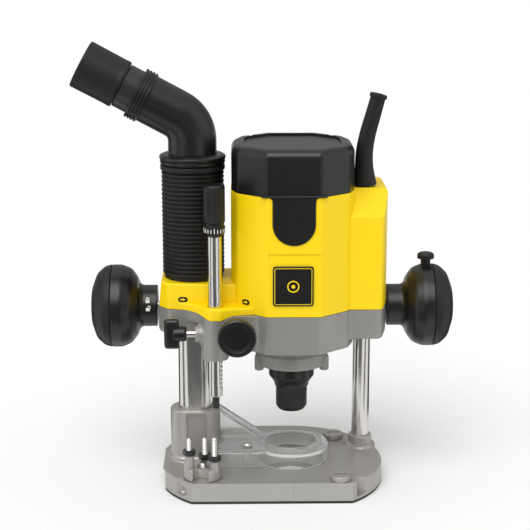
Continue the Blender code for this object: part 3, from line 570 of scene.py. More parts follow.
def make_sole():
    """The black sole plate and its three screws."""
    sole = slab("sole_plate_visual", base_outline(), 0, extent("sole_plate")[1].z, 0.4, 0.3)
    tools = [cylinder("sole_hole", 20, -2, 4)]
    for i in range(1, 4):
        at = flat(middle(f"sole_screw_{i}"))
        tools.append(drill(f"countersink_{i}", at, 4, -1, 3))
        head = [(0, 9.5), (1.7, 9.5), (1.7, 2.3), (3.6, 2.3, 0.3), (3.6, 0.4, 0.3), (0, 0.4)]
        screw = lathe(f"sole_screw_{i}_visual", head, at=at, segments=SMALL)
        for turn in (0, 90):
            carve(screw, groove(at, 4.2, 0.8, 0.1, 1.6, turn))
        show(screw, "polished_steel", f"sole_screw_{i}")
    carve(sole, *tools)
    show(sole, "black_plastic", "sole_plate")


def make_columns():
    """The oval dust column, the round column, and the return spring inside it."""
    at, low, high = upright("left_column")
    left = slab("left_column_visual", oval(OVAL, 8.0, 40), low, high, 0, 0.4, at=at)
    carve(left, slab("column_bore", oval(OVAL, DUCT_R), low - 5, high + 5, at=at),
          block("column_groove", (-65, -8, 20), (-62.4, -5.1, 190), rounding=0.4))
    show(left, "polished_steel", "left_column")
    at, low, high = upright("right_column")
    tube = [(4.7, 28), (4.7, high), (6.5, high, 0.5), (6.5, low), (0, low), (0, 28)]
    turned("right_column", "polished_steel", tube, at=at)
    low, high = extent("plunge_spring")
    wire, turns, per_turn = 0.7, 24, 20
    steps = turns * per_turn
    radius = (high.x - low.x) / 2 - wire
    rise = high.z - low.z - 2 * wire
    route = []
    for i in range(steps + 1):
        a = WHOLE_TURN * i / per_turn
        height = low.z + wire + rise * i / steps
        route.append(Vector((radius * math.cos(a), radius * math.sin(a), height)))
    spring = tube_along("plunge_spring_visual", route, [wire] * len(route), at=at, segments=10)
    show(spring, "polished_steel", "plunge_spring")
    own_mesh(spring)


def shroud_form(name, inset):
    """The shroud's outer form, or its inner one when inset by the wall's thickness."""
    top, foot = 28.5 - inset, 15.8 - (3 if inset else 0)
    rim = [(0, foot), (27.5 - inset, foot), (27.5 - inset, top - 1.5, 2.5), (24.5 - inset, top, 2.0), (0, top)]
    drum = lathe(name, rim)
    duct = [(-62, -20 + inset), (-33, -22 + inset, 2), (-18, -20 + inset), (-18, 20 - inset),
            (-62, 18 - inset)]
    hood = [(-62, foot), (-20, foot), (-20, top), (-62, top + 29 - inset * 0.5)]
    return unite(drum, slab(name + "_duct", duct, foot, top - 0.5, 0, 1.0),
                 slab(name + "_hood", hood, 4 + inset, 18 - inset, 1.0, 1.0, turn=TO_FRONT, at=(0, 22, 0)))


def make_shroud():
    """The clear dust shroud, with rings moulded round its opening, and its screw."""
    tower, screw_at = flat(middle("left_column")), flat(middle("shroud_screw"))
    shroud = shroud_form("dust_shroud_visual", 0)
    post = [(0, 15.8), (4.2, 15.8), (4.2, 28, 0.6), (0, 28)]
    carve(shroud, shroud_form("shroud_space", 2.0), cylinder("shroud_opening", 18.5, 20, 40),
          slab("around_tower", oval(TOWER_HALF, 15.0), 0, 70, at=tower),
          block("trim", (-80, -40, 0), (-56.5, 40, 80)))
    unite(shroud, lathe("post", post, at=screw_at, segments=SMALL),
          lathe("lip", [(18.5, 26.5), (19.7, 26.5), (19.7, 29.4, 0.5), (18.5, 29.4, 0.5)], closed=True),
          lathe("ring", [(22.0, 28.0), (23.0, 28.0), (23.0, 29.0, 0.4), (22.0, 29.0, 0.4)], closed=True))
    carve(shroud, drill("screw_way", screw_at, 2.1, 10, 40))
    show(shroud, "clear_plastic", "dust_shroud")
    head = [(0, 30.6), (2.6, 30.6, 0.6), (3.4, 29.6, 0.6), (3.4, 28.8), (1.6, 28.8), (1.6, 10), (0, 10)]
    screw = lathe("shroud_screw_visual", head, at=screw_at, segments=SMALL)
    show(carve(screw, groove(screw_at, 7, 0.7, 29.9, 32)), "polished_steel", "shroud_screw")


def make_clamp_screws():
    """The slotted clamp screws over the fence-rod holes."""
    for side in ("front", "rear"):
        at = flat(pivot(side + "_clamp_turn"))
        profile = [(0, 19.6), (CLAMP_R - 0.9, 19.6, 0.8), (CLAMP_R, 18.9, 0.6), (CLAMP_R, 15.8, 0.4),
                   (2.8, 15.8), (2.8, 12.7), (0, 12.7)]
        name = "rod_clamp_screw_" + side
        screw = lathe(name + "_visual", profile, at=at, segments=144, flutes=(36, 0.35, 16.2, 18.6))
        show(carve(screw, groove(at, 10, 1.6, 18.3, 21)), "base_aluminium", name)


def make_turret():
    """The stop turret: a disc with bosses, its pivot screw, three stop screws and their lock nuts."""
    at = flat(pivot("turret_turn"))
    profile = [(0, 22.5), (9, 22.5, 0.5), (10, 24, 0.5), (12.8, 24, 0.8), (14, 22.8, 0.5), (14, 15.8, 0.6),
               (0, 15.8)]
    disc = lathe("turret_disc_visual", profile, at=at)
    bosses, tools = [], [drill("disc_bore", at, 3.3, 10, 50)]
    for i in (1, 2, 3):
        place = flat(middle(f"stop_screw_{i}"))
        boss = extent(f"stop_nut_{i}")[0].z - 0.3
        bosses.append(lathe(f"boss_{i}", [(0, 16.8), (3.6, 16.8), (3.6, boss, 0.4), (0, boss)], at=place,
                            segments=SMALL))
        tools.append(drill(f"stop_bore_{i}", place, 2.8, 10, 50))
        tools.append(cylinder(f"notch_{i}", 6.2, 10, 50, at=at * 2 - place))
    unite(disc, *bosses)
    carve(disc, *tools)
    show(disc, "base_aluminium", "turret_disc", bevel=0.2)
    head = [(0, 26.2), (3.2, 26.2, 0.6), (4.0, 25.4, 0.4), (4.0, 22.8, 0.3), (2.5, 22.8), (2.5, 8), (0, 8)]
    screw = lathe("turret_pivot_screw_visual", head, at=at, segments=SMALL)
    show(carve(screw, slab("key", hexagon(1.9), 24.6, 28, at=at)), "polished_steel", "turret_pivot_screw")
    for i in (1, 2, 3):
        place, low, high = upright(f"stop_screw_{i}")
        thread = [(0, high), (1.6, high, 0.3), (2.45, high - 0.9)]
        z = high - 1.2
        while z > low + 0.8:
            thread += [(2.5, z), (2.12, z - 0.4)]
            z -= 0.8
        thread += [(2.45, low), (0, low)]
        turned(f"stop_screw_{i}", "polished_steel", thread, at=place, segments=SMALL)
        low, high = upright(f"stop_nut_{i}")[1:]
        nut = slab(f"stop_nut_{i}_visual", hexagon(4.5), low, high, at=place)
        cone = lathe("chamfer", [(0, low - 1), (3.6, low - 0.6), (5.0, low + 0.9), (5.0, high - 0.9),
                                 (3.6, high + 0.6), (0, high + 1)], at=place)
        combine(nut, "INTERSECT", [cone])
        carve(nut, drill("nut_bore", place, 2.75, 10, 60))
        show(nut, "dark_steel", f"stop_nut_{i}")


# ---- motor unit ----

BODY = [(19, 44, 5), (39.5, 26.5, 9), (43.5, 14, 12), (43.5, -14, 12), (39.5, -26.5, 9), (19, -44, 5)]
BODY_CORNERS = BODY[::-1] + [(-x, y, r) for x, y, r in BODY]
RIGHT_BOX = [(30, -25, 0.5), (63.5, -25, 5), (67.5, -6, 9), (67.5, 43, 8), (30, 43, 0.5)]
LEFT_WING = [(-88, -21, 6), (-62, -24, 1), (-40, -24, 1), (-40, 25, 1), (-88, 25, 6), (-95.5, 16, 6),
             (-95.5, -12, 6)]
PARTING = 135.0  # the casting's top
HOUSING_FOOT = PARTING + 0.3
DIP_BOTTOM = 132.4
DIP = [(-67, HOUSING_FOOT, 6), (-58.5, DIP_BOTTOM, 6), (-50.5, DIP_BOTTOM, 6), (-42, HOUSING_FOOT, 6)]
FLARE = [(-89, -20), (-75, -23.5, 14), (-65, -34.5, 12), (-58.7, -42.3, 5), (-50.7, -42.3, 5),
         (-44.5, -39.5, 7), (-33, -37.5, 6), (-25, -35.5), (-34, -16), (-89, -16)]
MOTOR_R = 38.5  # inside the casting and the housing
CAP_FOOT = 219.8
VENTS, VENT_PITCH, VENT_X = 7, 4.5, 43.1


def dip_shape(shift=0.0):
    """The space above the line at which the housing meets the casting, which dips round the depth rod."""
    ends = HOUSING_FOOT + shift
    corners = [(-100, 150), (-100, ends), *[(x, z + shift, r) for x, z, r in DIP], (-20, ends), (-20, 150)]
    return slab("dip", corners, 20, 60, turn=TO_FRONT)


def make_casting():
    """The grey casting: gear end, column guides, depth-rod bracket and pinion case."""
    rod, left, right = [flat(middle(name)) for name in ("depth_rod", "left_column", "right_column")]
    shaft, lock = pivot("rack_knob_turn"), Vector((rod.x, rod.y, pivot("rod_lock_turn").z))
    knob_at = dict(at=(shaft.x, 0, shaft.z), turn=TO_FRONT)
    gear_end = [(0, 114), (38.2, 114), (38.2, 107.2, 3.5), (32, 103.6, 2), (25.2, 103.2, 1), (25.2, 100),
                (26.2, 99.2, 0.8), (26.2, 90.2, 1), (25, 89.5), (0, 89.5)]
    casting = slab("carriage_casting_visual", BODY_CORNERS, 107.5, PARTING + 3, 1.5, 0)
    parts = [
        lathe("gear_end", gear_end),
        slab("right_foot", RIGHT_BOX, 113, PARTING + 3, 3.0, 0),
        slab("left_foot", LEFT_WING, 116, PARTING + 3, 3.0, 0),
        cylinder("rod_boss", 9.4, 102.4, PARTING + 3, at=rod),
        block("rod_web", (-66, -33, 112), (-45, -18, PARTING + 3)),
        slab("rod_flare", inset_outline(FLARE, 0.8), 127, PARTING + 3, 2.0, 0),
        block("pinion_case", (-53, -41, 109.5), (-24, -22, PARTING + 3), rounding=3),
        lathe("knob_boss", [(0, 40), (8.4, 40), (8, 47.7, 0.8), (0, 47.7)], **knob_at),
        cylinder("lock_boss", 6.0, 8, 14, at=lock, turn=TO_LEFT),
        cylinder("guide_left", 12.4, 113.4, 120, at=left + Vector((-3, 0, 0))),
        cylinder("guide_right", 10.2, 110.8, 120, at=right),
    ]
    for side in (-1, 1):
        parts.append(lathe(f"lug_{side + 1}", [(0, 96), (3.4, 96), (3.4, 84.9, 2.0), (0, 84.9)],
                           at=(side * 23.6, -6, 0)))
    unite(casting, *parts)
    melt(casting, CAST, 4)
    handle = pivot("left_handle_turn")
    nose = middle("spindle_lock_button")
    cavity = [(0, 140), (MOTOR_R, 140), (MOTOR_R, 113), (17.8, 113), (17.8, 99.7), (12.2, 99.7), (12.2, 80),
              (0, 80)]
    pocket = [(0, 60), (4.3, 60), (4.3, 37.5), (11.95, 37.5), (11.95, 28.7), (0, 28.7)]
    tools = [
        block("above", (-140, -90, PARTING), (120, 90, PARTING + 12)),
        dip_shape(-0.3),
        lathe("gear_cavity", cavity),
        slab("left_bore", oval(OVAL, 10.3), 113.5, 140, at=left),
        slab("left_way", oval(OVAL, 8.7), 100, 140, at=left),
        lathe("right_bore", [(0, 140), (8.8, 140), (8.8, 114), (7.1, 114), (7.1, 100), (0, 100)], at=right),
        cylinder("rod_way", 5.3, 90, 150, at=rod),
        lathe("pinion_pocket", pocket, **knob_at),
        cylinder("lock_shaft_way", 2.8, 0, 30, SMALL, at=lock, turn=TO_LEFT),
        cylinder("stud_way", 3.3, 10, 40, SMALL, at=(left.x, handle.y, handle.z), turn=TO_LEFT),
        cylinder("lock_way", 3.3, -40, -10, SMALL, at=(0, 0, nose.z), turn=TO_FRONT),
    ]
    for sign in (-1, 1):  # the dark slits where the barrel steps down to the nose
        tools.append(block(f"slit_{sign + 1}", (sign * 28 - 4.5, -36, 104.6), (sign * 28 + 4.5, -18, 105.6),
                           (0, 0, sign * 32)))
    carve(casting, *tools)
    show(casting, "grey_casting", "carriage_casting")


def tongue_outline(grow, top):
    """The U-shaped tongue, flaring into the cap by two small curves."""
    half, centre = 14.65 + grow, 200.95
    shoulder = 219.65 - grow / 2
    right = [(half, shoulder, 3.2), (half + 8, shoulder, 0), (half + 8, top, 0)]
    return arc(0, centre, half, 180, 360, 36) + right + [(-x, z, r) for x, z, r in right[::-1]]


def make_housing():
    """The yellow housing: body, right box with its sloped shoulder, left wing and rod collar."""
    top = extent("motor_housing")[1].z
    rod, left, right = [flat(middle(name)) for name in ("depth_rod", "left_column", "right_column")]
    housing = slab("motor_housing_visual", BODY_CORNERS, HOUSING_FOOT, top, 0.3, 0.4)
    box = slab("right_box", RIGHT_BOX, HOUSING_FOOT, 218.8, 0.4, 2.4)
    carve(box, block("shoulder", (20, -46, 207), (80, -4, 247), (38, 0, 0)),
          block("corner_cut", (64.8, -60, 120), (84.8, 90, 136.5), (0, 45, 0)))
    wing = slab("left_wing", LEFT_WING, HOUSING_FOOT, 154.0, 0.4, 1.6)
    carve(wing, block("wing_side", (-110, -60, 130), (-93.6, 60, 170), (0, 5.5, 0)))
    collar = slab("rod_collar", FLARE, DIP_BOTTOM - 1, 140.6, 0, 1.6)
    combine(collar, "INTERSECT", [dip_shape()])
    unite(housing, box, wing, collar)
    tools = [
        cylinder("motor_cavity", MOTOR_R, 130, 230),
        block("electrics_bay", (41.5, -19, 130), (61, 13.5, 203)),
        cylinder("column_way", 7.6, 130, 208.2, at=right),
        drill("cord_way", (CORD_X, CORD_Y, 0), 3.8, 200, 230),
        slab("sleeve_way", oval(OVAL, 9.2), 130, 160, at=left),
        cylinder("housing_rod_way", 5.5, 120, 160, at=rod),
        block("front_crease", (-18, -46.2, 143.5), (18, -44.15, 180.3), (-3.2, 0, 0)),
        block("right_seam", (31.6, -26.5, 130), (33.2, -24.2, 217)),
        slab("tongue_recess", tongue_outline(0.3, 240), 40.7, 50, turn=TO_FRONT),
    ]
    carve(housing, *tools)
    for i in (1, 2):
        carve(housing, drill("screw_bore", flat(middle(f"cap_screw_{i}")), 2.0, 200, 225))
    show(housing, "yellow_plastic", "motor_housing", bevel=0.35)


def make_cap():
    """The black top cap with its tongue, recessed top, side vents and two screws."""
    top = extent("top_cap")[1].z
    cap = slab("top_cap_visual", inset_outline(BODY_CORNERS, 0.4), CAP_FOOT, top, 0.2, 6.0, steps=8)
    carve(cap, slab("top_inset", inset_outline(BODY_CORNERS, 9.5), top - 1.4, top + 5))
    unite(cap, slab("tongue", tongue_outline(0, 221), 41, 45.2, 0, 0.9, turn=TO_FRONT))
    dial = pivot("speed_dial_turn")
    tools = [
        lathe("cap_space", [(36, 190), (36, 246), (14, 246), (14, 190)], closed=True),
        cylinder("bearing_seat", 11.3, 190, 229.6),
        cylinder("shaft_space", 5.5, 190, 234),
        cylinder("dial_pocket", 8.4, -60, -39.5, at=(0, 0, dial.z), turn=TO_FRONT),
    ]
    for side in (-1, 1):  # air slots in the two side walls
        for k in range(VENTS):
            y = VENT_PITCH * (k - (VENTS - 1) / 2)
            x = side * VENT_X
            tools.append(block(f"vent_{side + 1}_{k}", (x - 1.2, y - 0.9, 227), (x + 1.2, y + 0.9, 243)))
    carve(cap, *tools)
    for i in (1, 2):
        at = flat(middle(f"cap_screw_{i}"))
        hole = [(0, 260), (3.3, 260), (3.3, 239.7), (2.0, 239.7), (2.0, 210), (0, 210)]
        carve(cap, lathe("cap_screw_way", hole, at=at, segments=SMALL))
        profile = [(0, 243), (3.0, 243, 0.5), (3.0, 240, 0.2), (1.7, 240), (1.7, 205), (0, 205)]
        screw = lathe(f"cap_screw_{i}_visual", profile, at=at, segments=SMALL)
        show(carve(screw, groove(at, 4, 0.8, 241.4, 244)), "dark_steel", f"cap_screw_{i}")
    show(cap, "black_plastic", "top_cap", bevel=0.3)


def make_badge():
    """A blank black plate with a thin raised line round it, and a plain ring and dot in its middle."""
    low, high = extent("name_badge")
    centre = (low + high) / 2
    half = (high.x - low.x) / 2
    face = -low.y
    mark = face + 0.12
    at = dict(at=(centre.x, 0, centre.z), turn=TO_FRONT)

    def square(name, size, radius, *heights):
        return slab(name, rectangle(-size, -size, size, size, radius), *heights, **at)

    show(square("name_badge_visual", half, 2.2, face - 1.0, face, 0, 0.4), "black_plastic", "name_badge")
    line = square("badge_line", half - 1.1, 1.6, face - 0.6, mark, 0, 0.05)
    carve(line, square("line_inner", half - 1.5, 1.3, face - 3, face + 3))
    show(line, "yellow_plastic", body="carriage")
    ring = [(3.4, face - 0.4), (3.4, mark), (4.2, mark), (4.2, face - 0.4)]
    show(lathe("badge_ring", ring, closed=True, **at), "yellow_plastic", body="carriage")
    show(cylinder("badge_dot", 1.3, face - 0.4, mark, SMALL, **at), "yellow_plastic", body="carriage")


def make_marks():
    """Two small black oval signs with a turning arrow, and a padlock sign on the left handle's stem."""
    signs = (("mark_left", (-77.6, -22.1, 142.6), 6.6), ("mark_right", (-33.2, -31.9, 143.2), 40.5))
    for name, at, turn in signs:
        facing = dict(at=at, turn=(90, 0, -turn))
        show(slab(name, oval(1.5, 1.9, 16), -1.0, 0.3, 0, 0.15, **facing), "black_rubber", body="carriage")
        arrow = [(-1.9, -0.5), (0.2, -0.5), (0.2, -1.1), (1.9, 0), (0.2, 1.1), (0.2, 0.5), (-1.9, 0.5)]
        show(slab(name + "_arrow", arrow, -0.5, 0.36, **facing), "yellow_plastic", body="carriage")
    seat = pivot("left_handle_turn")
    for k, (z, opened) in enumerate(((4.0, 0.0), (-2.0, 0.9))):
        facing = dict(at=(seat.x - 6.4, seat.y - 14.6, seat.z + z + 4), turn=TO_FRONT)
        body = slab(f"padlock_{k}", rectangle(-1.4, -2.2, 1.4, 0, 0.3), -0.8, 0.6, **facing)
        outer = arc(opened, 0.6, 1.15, 0, 180, 12)
        inner = arc(opened, 0.6, 0.6, 180, 0, 12)
        hoop = [(opened + 1.15, -0.4), *outer, (opened - 1.15, -0.4), (opened - 0.6, -0.4), *inner,
                (opened + 0.6, -0.4)]
        unite(body, slab(f"hoop_{k}", hoop, -0.8, 0.6, **facing))
        show(body, "black_plastic", body="left_handle")
        body.data.materials[0] = FINISHES["mark_white"]


# ---- dust outlet and cord boot ----

TILT, CORNER_Z, BEND_R, BEND_STEPS = 61.8, 265.0, 21.0, 28
ELBOW_FOOT, ELBOW_REACH = 241.0, 40.0
CORD_X, CORD_Y = 52.0, 5.0


def make_sleeve():
    """The ribbed dust sleeve."""
    at, foot, top = upright("dust_sleeve")
    outer, lip, inner = 22.2, 22.9, 17.0
    pitch, ribs = 3.1, 24
    profile = [(inner, foot), (inner, top), (outer - 0.4, top, 0.3), (lip, top - 0.9, 0.6),
               (lip, top - 3.6, 0.6), (outer - 1.5, top - 4.6, 0.3)]
    for k in range(ribs):
        z = top - 5.0 - pitch * k
        profile += [(outer - 1.3, z, 0.2), (outer - 0.15, z - 0.5, 0.5), (outer, z - 1.0, 0.5),
                    (outer - 0.15, z - 1.9, 0.5), (outer - 1.3, z - 2.4, 0.2)]
    profile.append((outer - 1.3, foot))
    turned("dust_sleeve", "black_rubber", profile, at=at, closed=True, segments=128)


def make_boot():
    """The tapered rubber boot on the right box."""
    points = [(CORD_X, 219.9), (51.2, 232), (51.4, 244), (53.4, 256), (56.6, 268), (59.4, 278.5),
              (60.8, 284)]
    sizes = [8.4, 6.7, 6.1, 5.8, 5.6, 5.4, 5.4]
    route = smooth_route([Vector((x, CORD_Y, z)) for x, z in points], 10)
    radii = [r.x for r in smooth_route([Vector((r, 0, 0)) for r in sizes], 10)]
    boot = tube_along("strain_relief_visual", route, radii)
    lip = [(4.0, -2.6), (4.0, 0.3), (6.2, 0.3, 0.7), (6.2, -2.6, 0.7)]
    unite(boot, lathe("boot_lip", lip, at=route[-1], turn=(0, 13, 0), closed=True))
    bore = [Vector((CORD_X, CORD_Y, 210)), *route, Vector((62.3, CORD_Y, 290))]
    carve(boot, tube_along("cord_bore", bore, [3.9] * len(bore)))
    show(boot, "black_rubber", "strain_relief")


def make_outlet():
    """The swivelling elbow and the cuff on its end."""
    swivel, tilt = pivot("elbow_swivel"), math.radians(TILT)
    up = dict(at=(swivel.x, swivel.y, 0))
    tilted = dict(at=(swivel.x, swivel.y, CORNER_Z), turn=(0, -TILT, 0))

    def centre_line(start, end):
        reach = BEND_R * math.tan(tilt / 2)
        points = [Vector((0, 0, start + (CORNER_Z - reach - start) * i / 4)) for i in range(4)]
        for i in range(BEND_STEPS + 1):
            a = tilt * i / BEND_STEPS
            points.append(Vector((BEND_R * (math.cos(a) - 1), 0, CORNER_Z - reach + BEND_R * math.sin(a))))
        for i in range(1, 5):
            far = reach + (end - reach) * i / 4
            points.append(Vector((-far * math.sin(tilt), 0, CORNER_Z + far * math.cos(tilt))))
        return points

    line = centre_line(ELBOW_FOOT, ELBOW_REACH)
    elbow = tube_along("hose_elbow_visual", line, [17.15] * len(line), segments=72, **up)
    flange = [(0, 243.2), (17.4, 243.2), (21.2, 243.0, 0.6), (23.5, 241.8, 1.2), (23.5, 239.9, 0.8),
              (22.2, 239.4, 0.3), (23.2, 238.6, 0.5), (23.0, 236.9, 0.5), (22.4, 236.4), (16.6, 236.4),
              (16.6, 228), (0, 228)]
    collar = [(0, 44.8), (17.9, 44.8, 0.4)]
    for k in range(4):
        h = 44.4 - 2.3 * k
        collar += [(18.7, h - 0.2, 0.3), (18.7, h - 1.3, 0.3), (18.0, h - 1.6, 0.2), (18.0, h - 2.1, 0.2)]
    collar += [(17.0, 35.0), (0, 35.0)]
    neck = [(0, 40), (15.9, 40), (15.9, 55.4, 0.5), (14.3, 55.6), (14.3, 66, 0.4), (0, 66)]
    unite(elbow, lathe("flange", flange, **up), lathe("collar", collar, **tilted),
          lathe("neck", neck, **tilted))
    bore = centre_line(220, 80)
    carve(elbow, tube_along("elbow_bore", bore, [12.9] * len(bore), **up))
    show(elbow, "black_plastic", "hose_elbow")
    cuff = [(14.7, 87.4, 0.6), (16.6, 87.4, 0.5), (17.4, 86.6, 0.6), (17.2, 60.0, 1.0), (17.4, 57.6, 0.6),
            (17.0, 55.8, 0.5), (14.7, 55.8)]
    turned("hose_cuff", "black_rubber", cuff, closed=True, **tilted)


# ---- depth stop ----


RACK_PITCH, RACK_BELOW, RACK_ABOVE = math.pi, 13, 2  # gaps each side of the pinion's height
TICKS = 20


def make_depth_stop():
    """The depth rod with its rack, its tip, the fluted fine knob, the rack knob and the wing knob."""
    low, high = extent("depth_rod")
    at = flat(pivot("fine_adjust_turn"))
    shaft = pivot("rack_knob_turn")
    tube = [(2.2, high.z), (5, high.z, 0.4), (5, low.z, 0.6), (2.9, low.z), (2.9, 81), (2.2, 81)]
    bar = lathe("depth_rod_visual", tube, at=at, closed=True, segments=64)
    root, tip, clear = 3.05, 5.3, 9
    teeth = [(clear, shaft.z - (RACK_BELOW + 1) * RACK_PITCH)]
    for i in range(-RACK_BELOW, RACK_ABOVE + 1):
        z = shaft.z + RACK_PITCH * i
        teeth += [(tip, z - 1.36), (root, z - 0.54), (root, z + 0.54), (tip, z + 1.36)]
    teeth.append((clear, shaft.z + (RACK_ABOVE + 1) * RACK_PITCH))
    comb = slab("rack_comb", teeth, -8, 8, at=at, turn=TO_FRONT)
    show(carve(bar, comb), "polished_steel", "depth_rod")
    point = [(0, 98), (1.9, 98), (1.9, 74.7), (2.6, 74.7), (2.6, 66.2, 0.3), (2.0, 65.5, 0.2), (0, 65.5)]
    turned("depth_rod_tip", "dark_steel", point, at=at, segments=SMALL)
    knob = [(0, 227), (6.2, 227, 0.6), (7.35, 226, 0.8), (7.35, 215), (7.35, 201.2, 0.3), (6.3, 200, 0.2),
            (6.3, 199, 0.2), (7.35, 198.2, 0.3), (7.35, 193.5, 0.8), (6.2, 191.4, 0.4), (1.9, 191.4),
            (1.9, 165), (0, 165)]
    turned("fine_adjust_knob", "black_plastic", knob, at=at, segments=192, flutes=(24, 0.8, 201.5, 225.6))
    ticks = None
    for k in range(TICKS):
        tick = block("tick", (-0.25, -7.5, 194.0), (0.25, -6.9, 196.6 + (k % 5 == 0) * 0.8))
        spin(tick, 360 / TICKS * k, at)
        ticks = unite(ticks, tick) if ticks else tick
    ticks.name = "fine_knob_scale"
    show(ticks, "black_plastic", body="fine_knob")
    ticks.data.materials[0] = FINISHES["mark_white"]

    rim = [(0, 53.4), (9.2, 53.4, 0.5), (10.2, 55.1, 0.5), (12.2, 55.3, 0.8), (13.5, 54.2, 0.6), (13.5, 50),
           (13.5, 49.4, 0.6), (12.6, 48.1, 0.4), (4.0, 48.1), (4.0, 29.2), (0, 29.2)]
    turned("rack_knob", "black_plastic", rim, at=(shaft.x, 0, shaft.z), turn=TO_FRONT, segments=240,
           flutes=(30, 0.7, 48.4, 54.3))
    lock = Vector((at.x, at.y, pivot("rod_lock_turn").z))
    hub = [(0, 30), (4.6, 30, 0.5), (5.4, 29, 0.5), (5.4, 21.5, 0.8), (4.2, 20, 0.3), (2.5, 20), (2.5, 5.5),
           (0, 5.5)]
    places = dict(at=lock, turn=TO_LEFT)
    knob = lathe("rod_lock_knob_visual", hub, segments=64, **places)
    wing = [*arc(8, 0, 2.9, -90, 90, 16), (2.5, 3.6, 2), (-2.5, 3.6, 2), *arc(-8, 0, 2.9, 90, 270, 16),
            (-2.5, -3.6, 2), (2.5, -3.6, 2)]
    unite(knob, slab("wing", wing, 25.5, 36, 1.8, 2.5, **places))
    show(knob, "black_plastic", "rod_lock_knob")
    shaft_from = (SPINDLE.x + lock.x - 20.2) * MM
    repaint(knob, "polished_steel", lambda face: face.center.x > shaft_from)


def make_collet_nut():
    """The black collet nut: ribbed above, six flats below."""
    profile = [(15.6, 88.4), (16.5, 87.6, 0.5), (16.5, 80.2, 1.5), (12.9, 75.0, 1.0), (12.4, 72.6),
               (12.0, 58, 4.5), (9.4, 54, 1.5), (5.4, 54), (5.4, 59.2), (8.8, 59.2), (8.8, 88.4)]
    nut = lathe("collet_nut_visual", profile, closed=True, segments=144, flutes=(24, 0.55, 81.0, 87.0))
    for i in range(6):
        flat_side = block("flat", (11.2, -9, 50), (16, 9, 72.3), rounding=0.2)
        spin(flat_side, 60 * i)
        carve(nut, flat_side)
    show(nut, "black_plastic", "collet_nut", bevel=0.4)


# ---- handles and controls ----

SPLIT, LENGTH = 32.5, 47.8  # the seam's distance from the seat, and the end's


def make_handles():
    """Both round handles, each in two shells with a seam between them, and the switch parts."""
    axis = pivot("left_handle_turn")
    for side, turn, inward in (("left", TO_LEFT, 1), ("right", TO_RIGHT, 0)):
        places = dict(at=(extent(side + "_handle_inner")[inward].x, axis.y, axis.z), turn=turn)
        bore = 4.8 if side == "right" else 3.5
        inner = [(15, 0, 0.6), (15, 11.8, 4), (20.8, 14.0, 6), (27.0, 18.4, 8), (29.8, 25.4, 8),
                 (29.8, SPLIT - 0.5, 0.3), (29.4, SPLIT), (26, SPLIT), (26, 26), (20, 20), (bore, 17),
                 (bore, 0)]
        shell = lathe(side + "_handle_inner_visual", inner, closed=True, **places)
        if side == "right":
            low, high = extent("trigger")
            window = (low.x - 0.4, low.y - 5, low.z - 0.4), (high.x + 0.4, high.y + 6, high.z + 0.4)
            carve(shell, block("trigger_window", *window, rounding=1.5),
                  drill("button_way", flat(middle("lock_on_button")), 3.9, 145, 175))
        show(shell, "black_plastic", side + "_handle_inner", bevel=0.3 if side == "right" else 0)
        outer = [(26, SPLIT + 0.3), (29.4, SPLIT + 0.3), (29.8, SPLIT + 0.7, 0.3), (28.7, 37.8, 9),
                 (23.6, 43.4, 9), (13.5, 47.0, 12), (0, LENGTH), (0, 44.6), (18, 41), (26, 35)]
        turned(side + "_handle_outer", "black_rubber", outer, **places)
    at, low, high = upright("trigger")
    pad = [(-5, -6.7, 1.6), (5, -6.7, 1.6), (5, 6.7, 3), (-5, 6.7, 3)]
    show(slab("trigger_visual", pad, low, high, 1.4, 1.4, at=at), "black_rubber", "trigger")
    button = [(0, 169.2), (3.4, 169.6, 1), (4.8, 169.6, 0.6), (6.1, 168.4, 0.5), (6.1, 165.6, 0.3),
              (3.5, 165.0), (3.5, 151), (0, 151)]
    turned("lock_on_button", "black_rubber", button, at=flat(middle("lock_on_button")), segments=64)
    nose = middle("spindle_lock_button")
    button = [(0, 33.6), (4.0, 34, 0.6), (5.0, 34, 0.4), (6.0, 33, 0.5), (6.0, 30.4, 0.3), (2.9, 30.4),
              (2.9, 13.2), (0, 13.2)]
    turned("spindle_lock_button", "black_rubber", button, at=(0, 0, nose.z), turn=TO_BACK, segments=64)
    dial_at = pivot("speed_dial_turn")
    dial = [(0, 46.0), (6.2, 46.4, 0.5), (7.2, 46.2, 0.5), (8.0, 45.4, 0.4), (8.0, 39.9), (0, 39.9)]
    turned("speed_dial", "black_plastic", dial, at=(0, 0, dial_at.z), turn=TO_BACK, segments=160,
           flutes=(32, 0.5, 40, 45.8))
    pointer = block("dial_pointer", (-0.4, 45.6, dial_at.z + 2.5), (0.4, 46.7, dial_at.z + 6.0))
    show(pointer, "yellow_plastic", body="speed_dial")


INSIDE = {
    "polished_steel": ("rotor_core", "lower_bearing", "upper_bearing", "spindle_shaft", "collet", "lock_stud"),
    "dark_steel": ("stator_core",),
    "copper": ("commutator",),
    "carbon": ("carbon_brush_front", "carbon_brush_rear"),
    "brass": ("column_bush_left", "column_bush_right", "pinion_gear", "plunge_lock_pad"),
    "black_plastic": ("cooling_fan", "switch_body"),
}


def finish_inside():
    """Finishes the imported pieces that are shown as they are."""
    for finish, names in INSIDE.items():
        for name in names:
            obj = frame["nodes"][name]
            paint(obj, finish)
            weld = obj.modifiers.new("weld", "WELD")
            weld.merge_threshold = 0.01 * MM
            round_edges(obj, 0.2)


# ---- studio ----

